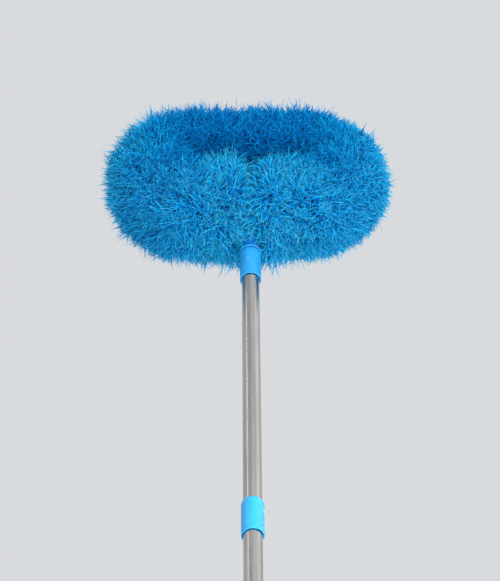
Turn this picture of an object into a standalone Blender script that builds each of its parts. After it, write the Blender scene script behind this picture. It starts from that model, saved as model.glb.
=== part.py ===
"""Ceiling fan duster: a steel pole in three screwed sections and a bendable loop of pile.

The pole's axis is Z and points up to the head. The origin is the middle of the hand grip.
X runs along the long axis of the head's loop. All lengths are in metres.

Each screw joint has its own frame, whose origin is the shoulder in the mouth of the
sleeve below: the section above stands on a washer on that shoulder.
"""

import math
import random

import bmesh
import bpy
from mathutils import Matrix, Vector

# Clearances and overruns
TOUCH_GAP = 0.0003
CUT_OVERRUN = 0.002
WELD_DISTANCE = 0.00001

# Facets
TURNED_SIDES = 20
SMALL_SIDES = 10
ROUND_STEPS = 3
ARC_STEPS = 8
SMOOTH_ANGLE = math.radians(40)
FLAT_COSINE = math.cos(math.radians(0.1))

# Steel tubes
TUBE_RADIUS = 0.011
TUBE_WALL = 0.0004
TUBE_LENGTH = 0.444

# Screw thread between sections
THREAD_PITCH = 0.004
THREAD_LENGTH = 0.016
THREAD_LEAD = 0.002
THREAD_RUNOUT = 0.004
THREAD_DEPTH = 0.0011
THREAD_FOOT_DEPTH = 0.0005
THREAD_CREST_WIDTH = 0.0010
THREAD_FOOT_WIDTH = 0.0023
THREAD_CLEARANCE = 0.0006
THREAD_STEPS = 10
GROOVE_TURNS_BELOW = 2
GROOVE_TURNS_ABOVE = 1
BORE_END_ROOM = 0.0028
CORE_WALL = 0.0027
CORE_ROOF = 0.004

# Sleeves
SLEEVE_WALL = 0.0019
SLEEVE_LIP_WALL = 0.0007
SLEEVE_SHOULDER = 0.005
SLEEVE_RIM = 0.0008
SOCKET_DEPTH = 0.030
MOUTH_DEPTH = 0.008
MOUTH_CLEARANCE = 0.0004

# Washers and plugs
WASHER_RING = 0.002
WASHER_THICKNESS = 0.0012
PLUG_FLANGE = 0.002
PLUG_DEPTH = 0.025
PLUG_CHAMFER = 0.001

# Hand grip
GRIP_LENGTH = 0.130
GRIP_WALL = 0.0029
GRIP_NECK_WALL = 0.0012
GRIP_NECK_LENGTH = 0.012
GRIP_FOOT_WALL = 0.0039
GRIP_FOOT_LENGTH = 0.010
GRIP_PLAIN_LENGTH = 0.012
GRIP_GROOVES = 6
GRIP_GROOVE_DEPTH = 0.0009
GRIP_GROOVE_WIDTH = 0.004

# End cap
CAP_FLANGE = 0.004
CAP_CHAMFER = 0.001
CAP_PLUG_DEPTH = 0.015
TAB_WIDTH = 0.018
TAB_HEIGHT = 0.022
TAB_THICKNESS = 0.005
HANGING_HOLE_RADIUS = 0.0045

# Hub: the moulded T that carries the loop
HUB_REVEAL = 0.0015
HUB_FLANGE_LIP = 0.003
HUB_FLANGE = 0.003
HUB_FLANGE_ROUND = 0.0008
STEM_RADIUS = 0.009
BARREL_RISE = 0.096
BARREL_WALL = 0.0027
BARREL_WEB_HALF = 0.011
BARREL_LIP = 0.0017
CORE_TOP_WALL = 0.006

# Bendable loop
LOOP_STRAIGHT_HALF = 0.0625
WIRE_RADIUS = 0.002
SHEATH_WALL = 0.0047
FERRULE_WALL = 0.0017
FERRULE_CUP_DEPTH = 0.014
FERRULE_END = 0.004
WIRE_END_DEPTH = 0.004

# Ferrule screws
SCREW_SHANK_RADIUS = 0.0015
SCREW_HEAD_RADIUS = 0.0028
SCREW_HEAD = 0.0018
SCREW_SEAT_DEPTH = 0.0008
SCREW_TIP_WALL = 0.0011
SCREW_FROM_END = 0.004

# Cover
BACKING_WALL = 0.0047
CUFF_WALL = 0.002
CUFF_WIDTH = 0.020
CUFF_ON_BARREL = 0.014

# Pile
PILE_DEPTH = 0.042
PILE_SQUEEZE = 0.0065
SLOT_HALF_HEIGHT = 0.008
PILE_SECTION_POINTS = 14
PILE_CORNER_STEPS = 6
NOTCH_RADIUS = 0.026

# Strands that stand out of the pile
STRAND_PITCH = 0.021
STRAND_RADIUS = 0.003
STRAND_SINK = 0.003
STRAND_REACH_LOW = 0.010
STRAND_REACH_HIGH = 0.014
STRAND_LEAN = 0.0055
STRAND_JITTER = 0.001
STRAND_SIDES = 3
STRAND_SPREAD = math.radians(120)
STRAND_SEED = 7

# Fits round the tube
TUBE_BORE_RADIUS = TUBE_RADIUS - TUBE_WALL
PLUG_RADIUS = TUBE_BORE_RADIUS - TOUCH_GAP
SEAT_RADIUS = TUBE_RADIUS + TOUCH_GAP
MOUTH_RADIUS = TUBE_RADIUS + MOUTH_CLEARANCE
SLEEVE_RADIUS = MOUTH_RADIUS + SLEEVE_WALL
HUB_FLANGE_RADIUS = TUBE_RADIUS + HUB_FLANGE_LIP
GRIP_RADIUS = SEAT_RADIUS + GRIP_WALL
GRIP_NECK_RADIUS = SEAT_RADIUS + GRIP_NECK_WALL
GRIP_FOOT_RADIUS = SEAT_RADIUS + GRIP_FOOT_WALL

# Thread, from the shoulder in the mouth of the sleeve below
WASHER_BORE_RADIUS = TUBE_RADIUS - WASHER_RING
THREAD_CREST_RADIUS = WASHER_BORE_RADIUS - THREAD_CLEARANCE
THREAD_ROOT_RADIUS = THREAD_CREST_RADIUS - THREAD_DEPTH
CORE_RADIUS = THREAD_ROOT_RADIUS - CORE_WALL
SCREW_BORE_RADIUS = THREAD_ROOT_RADIUS + THREAD_CLEARANCE
FLANGE_UNDERSIDE = WASHER_THICKNESS + TOUCH_GAP + TOUCH_GAP
THREAD_BOTTOM = FLANGE_UNDERSIDE - THREAD_LENGTH
THREAD_START = THREAD_BOTTOM + THREAD_LEAD
THREAD_TURNS = (THREAD_LENGTH - THREAD_LEAD - THREAD_RUNOUT) / THREAD_PITCH
SCREW_BORE_LENGTH = BORE_END_ROOM - THREAD_BOTTOM

# Heights along the pole
TUBE_BOTTOM = FLANGE_UNDERSIDE + PLUG_FLANGE + TOUCH_GAP
SHOULDER_ABOVE_TUBE = TOUCH_GAP + SCREW_BORE_LENGTH
SECTION_RISE = TUBE_BOTTOM + TUBE_LENGTH + SHOULDER_ABOVE_TUBE
GRIP_BOTTOM = -GRIP_LENGTH / 2
HANDLE_SHOULDER = GRIP_BOTTOM + TUBE_LENGTH + SHOULDER_ABOVE_TUBE

# Loop and its seats in the hub
SHEATH_RADIUS = WIRE_RADIUS + TOUCH_GAP + SHEATH_WALL
FERRULE_RADIUS = SHEATH_RADIUS + TOUCH_GAP + FERRULE_WALL
FERRULE_LENGTH = FERRULE_END + WIRE_END_DEPTH + FERRULE_CUP_DEPTH
BARREL_RADIUS = FERRULE_RADIUS + TOUCH_GAP + BARREL_WALL
FERRULE_INNER = BARREL_WEB_HALF + TOUCH_GAP
FERRULE_OUTER = FERRULE_INNER + FERRULE_LENGTH
BARREL_HALF_LENGTH = FERRULE_OUTER + BARREL_LIP
SHEATH_END = FERRULE_OUTER - FERRULE_CUP_DEPTH + TOUCH_GAP
WIRE_END = SHEATH_END - WIRE_END_DEPTH
SCREW_PLACE = FERRULE_INNER + SCREW_FROM_END
SCREW_TIP = WIRE_RADIUS + TOUCH_GAP + SCREW_TIP_WALL
SCREW_SEAT = BARREL_RADIUS - SCREW_SEAT_DEPTH

# Cover and pile round the loop
BACKING_RADIUS = SHEATH_RADIUS + TOUCH_GAP + BACKING_WALL
BACKING_END = BARREL_HALF_LENGTH + TOUCH_GAP
CUFF_INNER = BARREL_HALF_LENGTH - CUFF_ON_BARREL
CUFF_BORE_RADIUS = max(BACKING_RADIUS, BARREL_RADIUS) + TOUCH_GAP
CUFF_RADIUS = CUFF_BORE_RADIUS + CUFF_WALL
BARREL_ROOM_RADIUS = CUFF_RADIUS + TOUCH_GAP
BARREL_ROOM_HALF_LENGTH = CUFF_INNER + CUFF_WIDTH + TOUCH_GAP
PILE_BORE_RADIUS = BACKING_RADIUS + TOUCH_GAP
PILE_RADIUS = BACKING_RADIUS + PILE_DEPTH
PILE_FLAT = PILE_RADIUS - PILE_SQUEEZE
LOOP_END_RADIUS = PILE_FLAT + SLOT_HALF_HEIGHT
BARREL_HEIGHT = MOUTH_DEPTH + BARREL_RISE
SLOT_HEIGHT = BARREL_HEIGHT + LOOP_END_RADIUS
TOP_BAR_HEIGHT = SLOT_HEIGHT + LOOP_END_RADIUS
STEM_ROOM_RADIUS = STEM_RADIUS + TOUCH_GAP
NOTCH_SLOPE = (NOTCH_RADIUS - STEM_ROOM_RADIUS) / PILE_RADIUS


# Scene and materials

def clear_scene():
    for thing in list(bpy.data.objects):
        bpy.data.objects.remove(thing, do_unlink=True)


def new_collection(name):
    group = bpy.data.collections.new(name)
    bpy.context.scene.collection.children.link(group)
    return group


clear_scene()
PARTS = new_collection("ceiling_fan_duster")
CUTTERS = new_collection("cutters")


def finish_material(name, colour, roughness, metallic=0):
    made = bpy.data.materials.new(name)
    made.use_nodes = True
    shader = made.node_tree.nodes["Principled BSDF"]
    shader.inputs["Base Color"].default_value = (*colour, 1)
    shader.inputs["Roughness"].default_value = roughness
    shader.inputs["Metallic"].default_value = metallic
    made.diffuse_color = (*colour, 1)
    return made


STEEL = finish_material("brushed_steel", (0.60, 0.58, 0.55), 0.35, 1)
SPRING_STEEL = finish_material("spring_steel", (0.45, 0.46, 0.48), 0.3, 1)
BLUE_PLASTIC = finish_material("blue_plastic", (0.02, 0.37, 0.95), 0.35)
HUB_PLASTIC = finish_material("hub_plastic", (0.01, 0.13, 0.55), 0.4)
RUBBER = finish_material("black_rubber", (0.03, 0.03, 0.03), 0.85)
SHEATH_PLASTIC = finish_material("sheath_plastic", (0.04, 0.05, 0.07), 0.5)
COVER_FABRIC = finish_material("cover_fabric", (0.02, 0.20, 0.55), 0.9)
PILE = finish_material("microfibre_pile", (0.01, 0.27, 0.72), 0.9)


# Shapes

def add_object(name, data, material=None):
    """Add a part, or a cutter where no material is given."""
    thing = bpy.data.objects.new(name, data)
    if material is None:
        CUTTERS.objects.link(thing)
        thing.hide_render = True
        thing.display_type = "WIRE"
    else:
        PARTS.objects.link(thing)
        data.materials.append(material)
    return thing


def frame(name, height, parent=None):
    """An empty on the pole's axis, which carries the pieces of one section."""
    empty = bpy.data.objects.new(name, None)
    PARTS.objects.link(empty)
    empty.location = (0, 0, height)
    empty.parent = parent
    return empty


def in_a_flat(vertex):
    """Whether all the faces round a vertex lie in one plane, as at the hub of a fan."""
    first = vertex.link_faces[0].normal
    return all(first.dot(face.normal) > FLAT_COSINE for face in vertex.link_faces)


def frozen(thing):
    """Replace an object by a plain mesh of what it evaluates to, welded and facing out."""
    bpy.context.view_layer.update()
    shown = thing.evaluated_get(bpy.context.evaluated_depsgraph_get())
    mesh = bpy.data.meshes.new_from_object(shown)
    build = bmesh.new()
    build.from_mesh(mesh)
    bmesh.ops.remove_doubles(build, verts=build.verts, dist=WELD_DISTANCE)
    open_edges = [edge for edge in build.edges if edge.is_boundary]
    if open_edges:
        bmesh.ops.holes_fill(build, edges=open_edges)
    bmesh.ops.recalc_face_normals(build, faces=build.faces)
    bmesh.ops.dissolve_verts(build, verts=[v for v in build.verts if in_a_flat(v)])
    build.to_mesh(mesh)
    build.free()
    name = thing.name
    material = mesh.materials[0] if mesh.materials else None
    mesh.materials.clear()
    place, parent = thing.matrix_basis.copy(), thing.parent
    bpy.data.objects.remove(thing, do_unlink=True)
    solid = add_object(name, mesh, material)
    solid.matrix_basis = place
    solid.parent = parent
    return solid


def smooth(thing):
    """Shade a turned or swept piece smooth, with its real edges sharp."""
    thing.data.shade_smooth()
    thing.data.set_sharp_from_angle(angle=SMOOTH_ANGLE)


def combine(target, other, operation):
    """Join another solid to the target, or cut it out of it."""
    step = target.modifiers.new(other.name, "BOOLEAN")
    step.object = other
    step.operation = operation
    step.solver = "EXACT"


def join(target, *others):
    for other in others:
        combine(target, other, "UNION")


def cut(target, *cutters):
    for cutter in cutters:
        combine(target, cutter, "DIFFERENCE")


def outline_mesh(name, points, closed):
    """A chain of edges at +X in the XZ plane, from pairs of radius and height."""
    count = len(points)
    edges = [(k, k + 1) for k in range(count - 1)]
    if closed:
        edges.append((count - 1, 0))
    mesh = bpy.data.meshes.new(name)
    mesh.from_pydata([(radius, 0, height) for radius, height in points], edges, [])
    return mesh


def turned(name, points, material=None, closed=False, sides=TURNED_SIDES):
    """Turn a profile about Z. It runs down the outside, from the top.

    The facets are turned by half a side, so that no edge of theirs lies on a thread's.
    """
    thing = add_object(name, outline_mesh(name, points, closed), material)
    screw = thing.modifiers.new("turn", "SCREW")
    screw.angle = math.tau
    screw.steps = screw.render_steps = sides
    screw.use_merge_vertices = True
    screw.merge_threshold = WELD_DISTANCE
    solid = frozen(thing)
    solid.data.transform(Matrix.Rotation(math.pi / sides, 4, "Z"))
    return solid


def disc(radius, top, bottom):
    """The profile of a plain round bar."""
    return [(0, top), (radius, top), (radius, bottom), (0, bottom)]


def bar(name, radius, top, bottom, material=None, sides=TURNED_SIDES):
    return turned(name, disc(radius, top, bottom), material, sides=sides)


def helix(name, start, turns, clearance=0):
    """The ridge of the screw thread, grown on every side by a clearance.

    Its middle climbs one pitch a turn from the start height, right-handed.
    """
    foot = THREAD_ROOT_RADIUS - THREAD_FOOT_DEPTH
    crest = THREAD_CREST_RADIUS + clearance
    foot_half = THREAD_FOOT_WIDTH / 2 + clearance
    crest_half = THREAD_CREST_WIDTH / 2 + clearance
    points = [
        (foot, start + foot_half),
        (crest, start + crest_half),
        (crest, start - crest_half),
        (foot, start - foot_half),
    ]
    thing = add_object(name, outline_mesh(name, points, closed=True))
    screw = thing.modifiers.new("climb", "SCREW")
    screw.angle = math.tau * turns
    screw.screw_offset = THREAD_PITCH * turns
    screw.steps = screw.render_steps = round(THREAD_STEPS * turns)
    screw.use_merge_vertices = False
    return frozen(thing)


def quarter(centre_radius, centre_height, width, start_degrees, height=None):
    """Points of a quarter ellipse, clockwise from a direction in the profile's plane.

    It is a quarter round of radius width where no height is given.
    """
    height = width if height is None else height
    start = math.radians(start_degrees)
    step = math.radians(90) / ROUND_STEPS
    angles = [start - step * k for k in range(ROUND_STEPS + 1)]
    return [
        (centre_radius + width * math.cos(a), centre_height + height * math.sin(a))
        for a in angles
    ]


def extruded(name, points, low, high, material=None):
    """A flat outline in the local XY plane, given thickness from low to high along Z."""
    flat = bpy.data.curves.new(name, "CURVE")
    flat.dimensions = "2D"
    flat.fill_mode = "BOTH"
    flat.extrude = (high - low) / 2
    line = flat.splines.new("POLY")
    line.points.add(len(points) - 1)
    for point, (x, y) in zip(line.points, points):
        point.co = (x, y, 0, 1)
    line.use_cyclic_u = True
    thing = add_object(name, flat, material)
    solid = frozen(thing)
    solid.data.transform(Matrix.Translation((0, 0, (high + low) / 2)))
    return solid


def swept(name, points, radius, material=None, cyclic=False, detail=2):
    """A round tube along points in the XZ plane."""
    path = bpy.data.curves.new(name, "CURVE")
    path.dimensions = "3D"
    path.fill_mode = "FULL"
    path.bevel_depth = radius
    path.bevel_resolution = detail
    path.use_fill_caps = not cyclic
    line = path.splines.new("POLY")
    line.points.add(len(points) - 1)
    for point, (x, z) in zip(line.points, points):
        point.co = (x, z, 0, 1)
    line.use_cyclic_u = cyclic
    solid = frozen(add_object(name, path, material))
    solid.data.transform(Matrix.Rotation(math.radians(90), 4, "X"))
    return solid


def along_x(thing, height=0):
    """Lay a piece made about Z along X, its top towards +X."""
    thing.rotation_euler = (0, math.radians(90), 0)
    thing.location = (0, 0, height)


def towards_rear(thing, x, height):
    """Lay a piece made about Z along Y, its top towards +Y."""
    thing.rotation_euler = (math.radians(-90), 0, 0)
    thing.location = (x, 0, height)


# Pole

def make_tube(name, bottom, parent):
    top = bottom + TUBE_LENGTH
    wall = [
        (TUBE_BORE_RADIUS, top),
        (TUBE_RADIUS, top),
        (TUBE_RADIUS, bottom),
        (TUBE_BORE_RADIUS, bottom),
    ]
    tube = turned(name, wall, STEEL, closed=True)
    tube.parent = parent
    smooth(tube)


def make_sleeve(name, shoulder, parent):
    """A sleeve fixed on the tube below, with the threaded socket for the section above."""
    top = MOUTH_DEPTH
    ceiling = -SCREW_BORE_LENGTH
    bottom = ceiling - SOCKET_DEPTH
    lip = MOUTH_RADIUS + SLEEVE_LIP_WALL
    rim_centre = SLEEVE_RADIUS - SLEEVE_RIM
    outside = quarter(lip, top - SLEEVE_SHOULDER, SLEEVE_RADIUS - lip, 90, SLEEVE_SHOULDER)
    outside += quarter(rim_centre, bottom + SLEEVE_RIM, SLEEVE_RIM, 0)
    inside = [
        (SEAT_RADIUS, bottom),
        (SEAT_RADIUS, ceiling),
        (SCREW_BORE_RADIUS, ceiling),
        (SCREW_BORE_RADIUS, 0),
        (MOUTH_RADIUS, 0),
        (MOUTH_RADIUS, top),
    ]
    sleeve = turned(name, outside + inside, BLUE_PLASTIC, closed=True)
    sleeve.location = (0, 0, shoulder)
    sleeve.parent = parent
    turns = THREAD_TURNS + GROOVE_TURNS_BELOW + GROOVE_TURNS_ABOVE
    start = THREAD_START - THREAD_PITCH * GROOVE_TURNS_BELOW
    groove = helix(name + "_groove", start, turns, THREAD_CLEARANCE)
    groove.location = sleeve.location
    groove.parent = parent
    cut(sleeve, groove)
    smooth(sleeve)


def make_washer(name, shoulder, parent):
    bottom = TOUCH_GAP
    top = bottom + WASHER_THICKNESS
    ring = [
        (WASHER_BORE_RADIUS, top),
        (TUBE_RADIUS, top),
        (TUBE_RADIUS, bottom),
        (WASHER_BORE_RADIUS, bottom),
    ]
    washer = turned(name, ring, RUBBER, closed=True)
    washer.location = (0, 0, shoulder)
    washer.parent = parent
    smooth(washer)


def add_thread(piece, name, parent):
    """Join the screw thread to a piece whose core already reaches to its end."""
    ridge = helix(name + "_thread", THREAD_START, THREAD_TURNS)
    ridge.parent = parent
    join(piece, ridge)


def make_plug(name, parent):
    """The threaded plug in a tube's lower end, cored from its screw end."""
    flange_top = FLANGE_UNDERSIDE + PLUG_FLANGE
    top = flange_top + PLUG_DEPTH
    core_top = top - CORE_ROOF
    profile = [
        (0, top),
        (PLUG_RADIUS - PLUG_CHAMFER, top),
        (PLUG_RADIUS, top - PLUG_CHAMFER),
        (PLUG_RADIUS, flange_top),
        (TUBE_RADIUS, flange_top),
        (TUBE_RADIUS, FLANGE_UNDERSIDE),
        (THREAD_ROOT_RADIUS, FLANGE_UNDERSIDE),
        (THREAD_ROOT_RADIUS, THREAD_BOTTOM),
        (CORE_RADIUS, THREAD_BOTTOM),
        (CORE_RADIUS, core_top),
        (0, core_top),
    ]
    plug = turned(name, profile, BLUE_PLASTIC)
    plug.parent = parent
    add_thread(plug, name, parent)
    smooth(plug)


def make_grip(parent):
    """The hand grip: a tapered neck, ring grooves and a flared foot."""
    top = GRIP_LENGTH / 2
    ribs_top = top - GRIP_NECK_LENGTH - GRIP_PLAIN_LENGTH
    ribs_bottom = GRIP_BOTTOM + GRIP_FOOT_LENGTH + GRIP_PLAIN_LENGTH
    pitch = (ribs_top - ribs_bottom) / GRIP_GROOVES
    first = ribs_top - pitch / 2
    profile = [(SEAT_RADIUS, top), (GRIP_NECK_RADIUS, top)]
    profile.append((GRIP_RADIUS, top - GRIP_NECK_LENGTH))
    for k in range(GRIP_GROOVES):
        middle = first - pitch * k
        profile.append((GRIP_RADIUS, middle + GRIP_GROOVE_WIDTH / 2))
        profile.append((GRIP_RADIUS - GRIP_GROOVE_DEPTH, middle))
        profile.append((GRIP_RADIUS, middle - GRIP_GROOVE_WIDTH / 2))
    profile.append((GRIP_RADIUS, GRIP_BOTTOM + GRIP_FOOT_LENGTH))
    profile.append((GRIP_FOOT_RADIUS, GRIP_BOTTOM + GRIP_FOOT_LENGTH / 2))
    profile.append((GRIP_FOOT_RADIUS, GRIP_BOTTOM))
    profile.append((SEAT_RADIUS, GRIP_BOTTOM))
    grip = turned("grip", profile, BLUE_PLASTIC, closed=True)
    grip.parent = parent
    smooth(grip)


def make_end_cap(parent):
    """The cap below the grip, with a plug in the tube and a tab to hang the pole by."""
    top = GRIP_BOTTOM - TOUCH_GAP
    bottom = top - CAP_FLANGE
    plug_top = top + CAP_PLUG_DEPTH
    profile = [
        (0, plug_top),
        (PLUG_RADIUS, plug_top),
        (PLUG_RADIUS, top),
        (GRIP_FOOT_RADIUS, top),
        (GRIP_FOOT_RADIUS, bottom + CAP_CHAMFER),
        (GRIP_FOOT_RADIUS - CAP_CHAMFER, bottom),
        (0, bottom),
    ]
    cap = turned("end_cap", profile, BLUE_PLASTIC)
    cap.parent = parent
    half = TAB_WIDTH / 2
    centre = bottom - TAB_HEIGHT + half
    root = bottom + CAP_FLANGE / 2
    step = math.pi / SMALL_SIDES
    outline = [(-half, root)]
    for k in range(SMALL_SIDES + 1):
        angle = math.pi + step * k
        outline.append((half * math.cos(angle), centre + half * math.sin(angle)))
    outline.append((half, root))
    tab = extruded("end_cap_tab", outline, -TAB_THICKNESS / 2, TAB_THICKNESS / 2)
    tab.rotation_euler = (math.radians(90), 0, 0)
    tab.parent = parent
    reach = TAB_THICKNESS / 2 + CUT_OVERRUN
    hole = bar("hanging_hole_cutter", HANGING_HOLE_RADIUS, reach, -reach)
    towards_rear(hole, 0, centre)
    hole.parent = parent
    join(cap, tab)
    cut(cap, hole)
    smooth(cap)


# Head frame

def make_hub(parent):
    """The T: a screw end, a flange on the sleeve, a stem and a barrel with two sockets."""
    sleeve_top = MOUTH_DEPTH
    flange_bottom = sleeve_top + HUB_REVEAL
    flange_top = flange_bottom + HUB_FLANGE
    round_centre = HUB_FLANGE_RADIUS - HUB_FLANGE_ROUND
    core_top = BARREL_HEIGHT - BARREL_RADIUS - CORE_TOP_WALL
    stem_top = BARREL_HEIGHT - BARREL_RADIUS / 2
    profile = [(0, stem_top), (STEM_RADIUS, stem_top), (STEM_RADIUS, flange_top)]
    profile += quarter(round_centre, flange_top - HUB_FLANGE_ROUND, HUB_FLANGE_ROUND, 90)
    profile += quarter(round_centre, flange_bottom + HUB_FLANGE_ROUND, HUB_FLANGE_ROUND, 0)
    profile += [
        (TUBE_RADIUS, flange_bottom),
        (TUBE_RADIUS, FLANGE_UNDERSIDE),
        (THREAD_ROOT_RADIUS, FLANGE_UNDERSIDE),
        (THREAD_ROOT_RADIUS, THREAD_BOTTOM),
        (CORE_RADIUS, THREAD_BOTTOM),
        (CORE_RADIUS, core_top),
        (0, core_top),
    ]
    hub = turned("hub", profile, HUB_PLASTIC)
    hub.parent = parent
    barrel = bar("hub_barrel", BARREL_RADIUS, BARREL_HALF_LENGTH, -BARREL_HALF_LENGTH)
    along_x(barrel, BARREL_HEIGHT)
    barrel.parent = parent
    add_thread(hub, "hub", parent)
    join(hub, barrel)
    for side, sign in (("left", -1), ("right", 1)):
        ends = sorted((sign * BARREL_WEB_HALF, sign * (BARREL_HALF_LENGTH + CUT_OVERRUN)))
        room = FERRULE_RADIUS + TOUCH_GAP
        socket = bar(f"hub_socket_{side}", room, ends[1], ends[0])
        along_x(socket, BARREL_HEIGHT)
        socket.parent = parent
        seat = screw_room(f"hub_screw_{side}", BARREL_RADIUS + CUT_OVERRUN, 0)
        towards_rear(seat, sign * SCREW_PLACE, BARREL_HEIGHT)
        seat.parent = parent
        cut(hub, seat, socket)
    smooth(hub)


def screw_room(name, top, bottom):
    """A cutter for a ferrule screw: a seat for its head and a hole for its shank."""
    head = SCREW_HEAD_RADIUS + TOUCH_GAP
    shank = SCREW_SHANK_RADIUS + TOUCH_GAP
    profile = [(0, top), (head, top), (head, SCREW_SEAT), (shank, SCREW_SEAT)]
    profile += [(shank, bottom), (0, bottom)]
    return turned(name, profile, sides=SMALL_SIDES)


def make_ferrule(side, sign, parent):
    """A steel cup on the sheath's end, with a blind hole for the wire and one for its screw."""
    cup = SHEATH_RADIUS + TOUCH_GAP
    wire = WIRE_RADIUS + TOUCH_GAP
    cup_floor = FERRULE_OUTER - FERRULE_CUP_DEPTH
    wire_floor = WIRE_END - TOUCH_GAP
    profile = [
        (cup, FERRULE_OUTER),
        (FERRULE_RADIUS, FERRULE_OUTER),
        (FERRULE_RADIUS, FERRULE_INNER),
        (0, FERRULE_INNER),
        (0, wire_floor),
        (wire, wire_floor),
        (wire, cup_floor),
        (cup, cup_floor),
    ]
    ends = [(radius, sign * height) for radius, height in profile]
    ferrule = turned(f"ferrule_{side}", closed_profile(ends), STEEL)
    along_x(ferrule, BARREL_HEIGHT)
    ferrule.parent = parent
    tip = SCREW_TIP - TOUCH_GAP
    hole = bar(
        f"ferrule_hole_{side}",
        SCREW_SHANK_RADIUS + TOUCH_GAP,
        FERRULE_RADIUS + CUT_OVERRUN,
        tip,
        sides=SMALL_SIDES,
    )
    towards_rear(hole, sign * SCREW_PLACE, BARREL_HEIGHT)
    hole.parent = parent
    cut(ferrule, hole)
    smooth(ferrule)


def closed_profile(points):
    """Start a profile at the axis, so that it runs from the axis and back to it."""
    on_axis = [k for k, point in enumerate(points) if point[0] == 0]
    start = on_axis[-1]
    return points[start:] + points[:start]


def make_ferrule_screw(side, sign, parent):
    seat = SCREW_SEAT + TOUCH_GAP
    top = seat + SCREW_HEAD
    profile = [
        (0, top),
        (SCREW_HEAD_RADIUS / 2, top),
        (SCREW_HEAD_RADIUS, top - SCREW_HEAD / 2),
        (SCREW_HEAD_RADIUS, seat),
        (SCREW_SHANK_RADIUS, seat),
        (SCREW_SHANK_RADIUS, SCREW_TIP),
        (0, SCREW_TIP),
    ]
    screw = turned(f"ferrule_screw_{side}", profile, SPRING_STEEL, sides=SMALL_SIDES)
    towards_rear(screw, sign * SCREW_PLACE, BARREL_HEIGHT)
    screw.parent = parent
    smooth(screw)


def loop_points(end=0):
    """The loop's middle line in X and Z: from -end on the lower bar, round to +end.

    It is a straight run, a half circle, the upper bar, a half circle and a straight run.
    With no end given, the lower bar is left to close the loop.
    """
    points = [(-end, BARREL_HEIGHT)] if end else []
    step = math.pi / ARC_STEPS
    for centre, first in ((-LOOP_STRAIGHT_HALF, -90), (LOOP_STRAIGHT_HALF, 90)):
        for k in range(ARC_STEPS + 1):
            angle = math.radians(first) - step * k
            x = centre + LOOP_END_RADIUS * math.cos(angle)
            points.append((x, SLOT_HEIGHT + LOOP_END_RADIUS * math.sin(angle)))
    if end:
        points.append((end, BARREL_HEIGHT))
    return points


def make_loop(parent):
    wire = swept("loop_wire", loop_points(WIRE_END), WIRE_RADIUS, SPRING_STEEL, detail=1)
    wire.parent = parent
    smooth(wire)
    sheath = swept("loop_sheath", loop_points(SHEATH_END), SHEATH_RADIUS, SHEATH_PLASTIC)
    sheath.parent = parent
    bore = WIRE_RADIUS + TOUCH_GAP
    sheath_bore = swept("sheath_bore", loop_points(SHEATH_END - CUT_OVERRUN), bore, detail=1)
    sheath_bore.parent = parent
    cut(sheath, sheath_bore)
    smooth(sheath)
    backing = swept("cover_backing", loop_points(BACKING_END), BACKING_RADIUS, COVER_FABRIC)
    backing.parent = parent
    bore = SHEATH_RADIUS + TOUCH_GAP
    backing_bore = swept("backing_bore", loop_points(BACKING_END - CUT_OVERRUN), bore)
    backing_bore.parent = parent
    cut(backing, backing_bore)
    smooth(backing)


def make_cuff(side, sign, parent):
    """The cover's hem, which grips the end of the hub's barrel."""
    ends = sorted((sign * CUFF_INNER, sign * (CUFF_INNER + CUFF_WIDTH)))
    ring = [
        (CUFF_BORE_RADIUS, ends[1]),
        (CUFF_RADIUS, ends[1]),
        (CUFF_RADIUS, ends[0]),
        (CUFF_BORE_RADIUS, ends[0]),
    ]
    cuff = turned(f"cuff_{side}", ring, COVER_FABRIC, closed=True)
    along_x(cuff, BARREL_HEIGHT)
    cuff.parent = parent
    smooth(cuff)


# Pile

def pile_section():
    """The pile's section: a round cut flat on the slot's side.

    Each point is its distance outwards from the loop's middle line and its place along Y.
    """
    reach = math.acos(-PILE_FLAT / PILE_RADIUS)
    step = 2 * reach / (PILE_SECTION_POINTS - 1)
    angles = [reach - step * k for k in range(PILE_SECTION_POINTS)]
    return [(PILE_RADIUS * math.cos(a), PILE_RADIUS * math.sin(a)) for a in angles]


def loop_frame(place):
    """Middle line, outward direction and direction of travel at a length along the loop.

    Lengths run from the middle of the lower bar towards +X, up and back along the top.
    """
    quarter_turn = math.pi * LOOP_END_RADIUS
    side = LOOP_STRAIGHT_HALF + quarter_turn
    if place <= LOOP_STRAIGHT_HALF:
        return Vector((place, 0, BARREL_HEIGHT)), Vector((0, 0, -1)), Vector((1, 0, 0))
    if place <= side:
        angle = (place - LOOP_STRAIGHT_HALF) / LOOP_END_RADIUS - math.pi / 2
        out = Vector((math.cos(angle), 0, math.sin(angle)))
        centre = Vector((LOOP_STRAIGHT_HALF, 0, SLOT_HEIGHT))
        ahead = Vector((-math.sin(angle), 0, math.cos(angle)))
        return centre + out * LOOP_END_RADIUS, out, ahead
    x = LOOP_STRAIGHT_HALF - (place - side)
    return Vector((x, 0, TOP_BAR_HEIGHT)), Vector((0, 0, 1)), Vector((-1, 0, 0))


def mirrored(vector):
    return Vector((-vector.x, vector.y, vector.z))


def notch_radius(height):
    """Radius of the parting round the hub's stem, which widens downwards."""
    return STEM_ROOM_RADIUS + NOTCH_SLOPE * (BARREL_HEIGHT - height)


def in_notch(point):
    """Whether a strand rooted here would stand over the parting round the hub's stem."""
    room = notch_radius(point.z) + STRAND_RADIUS + STRAND_JITTER
    return point.z < BARREL_HEIGHT and math.hypot(point.x, point.y) < room


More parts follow.
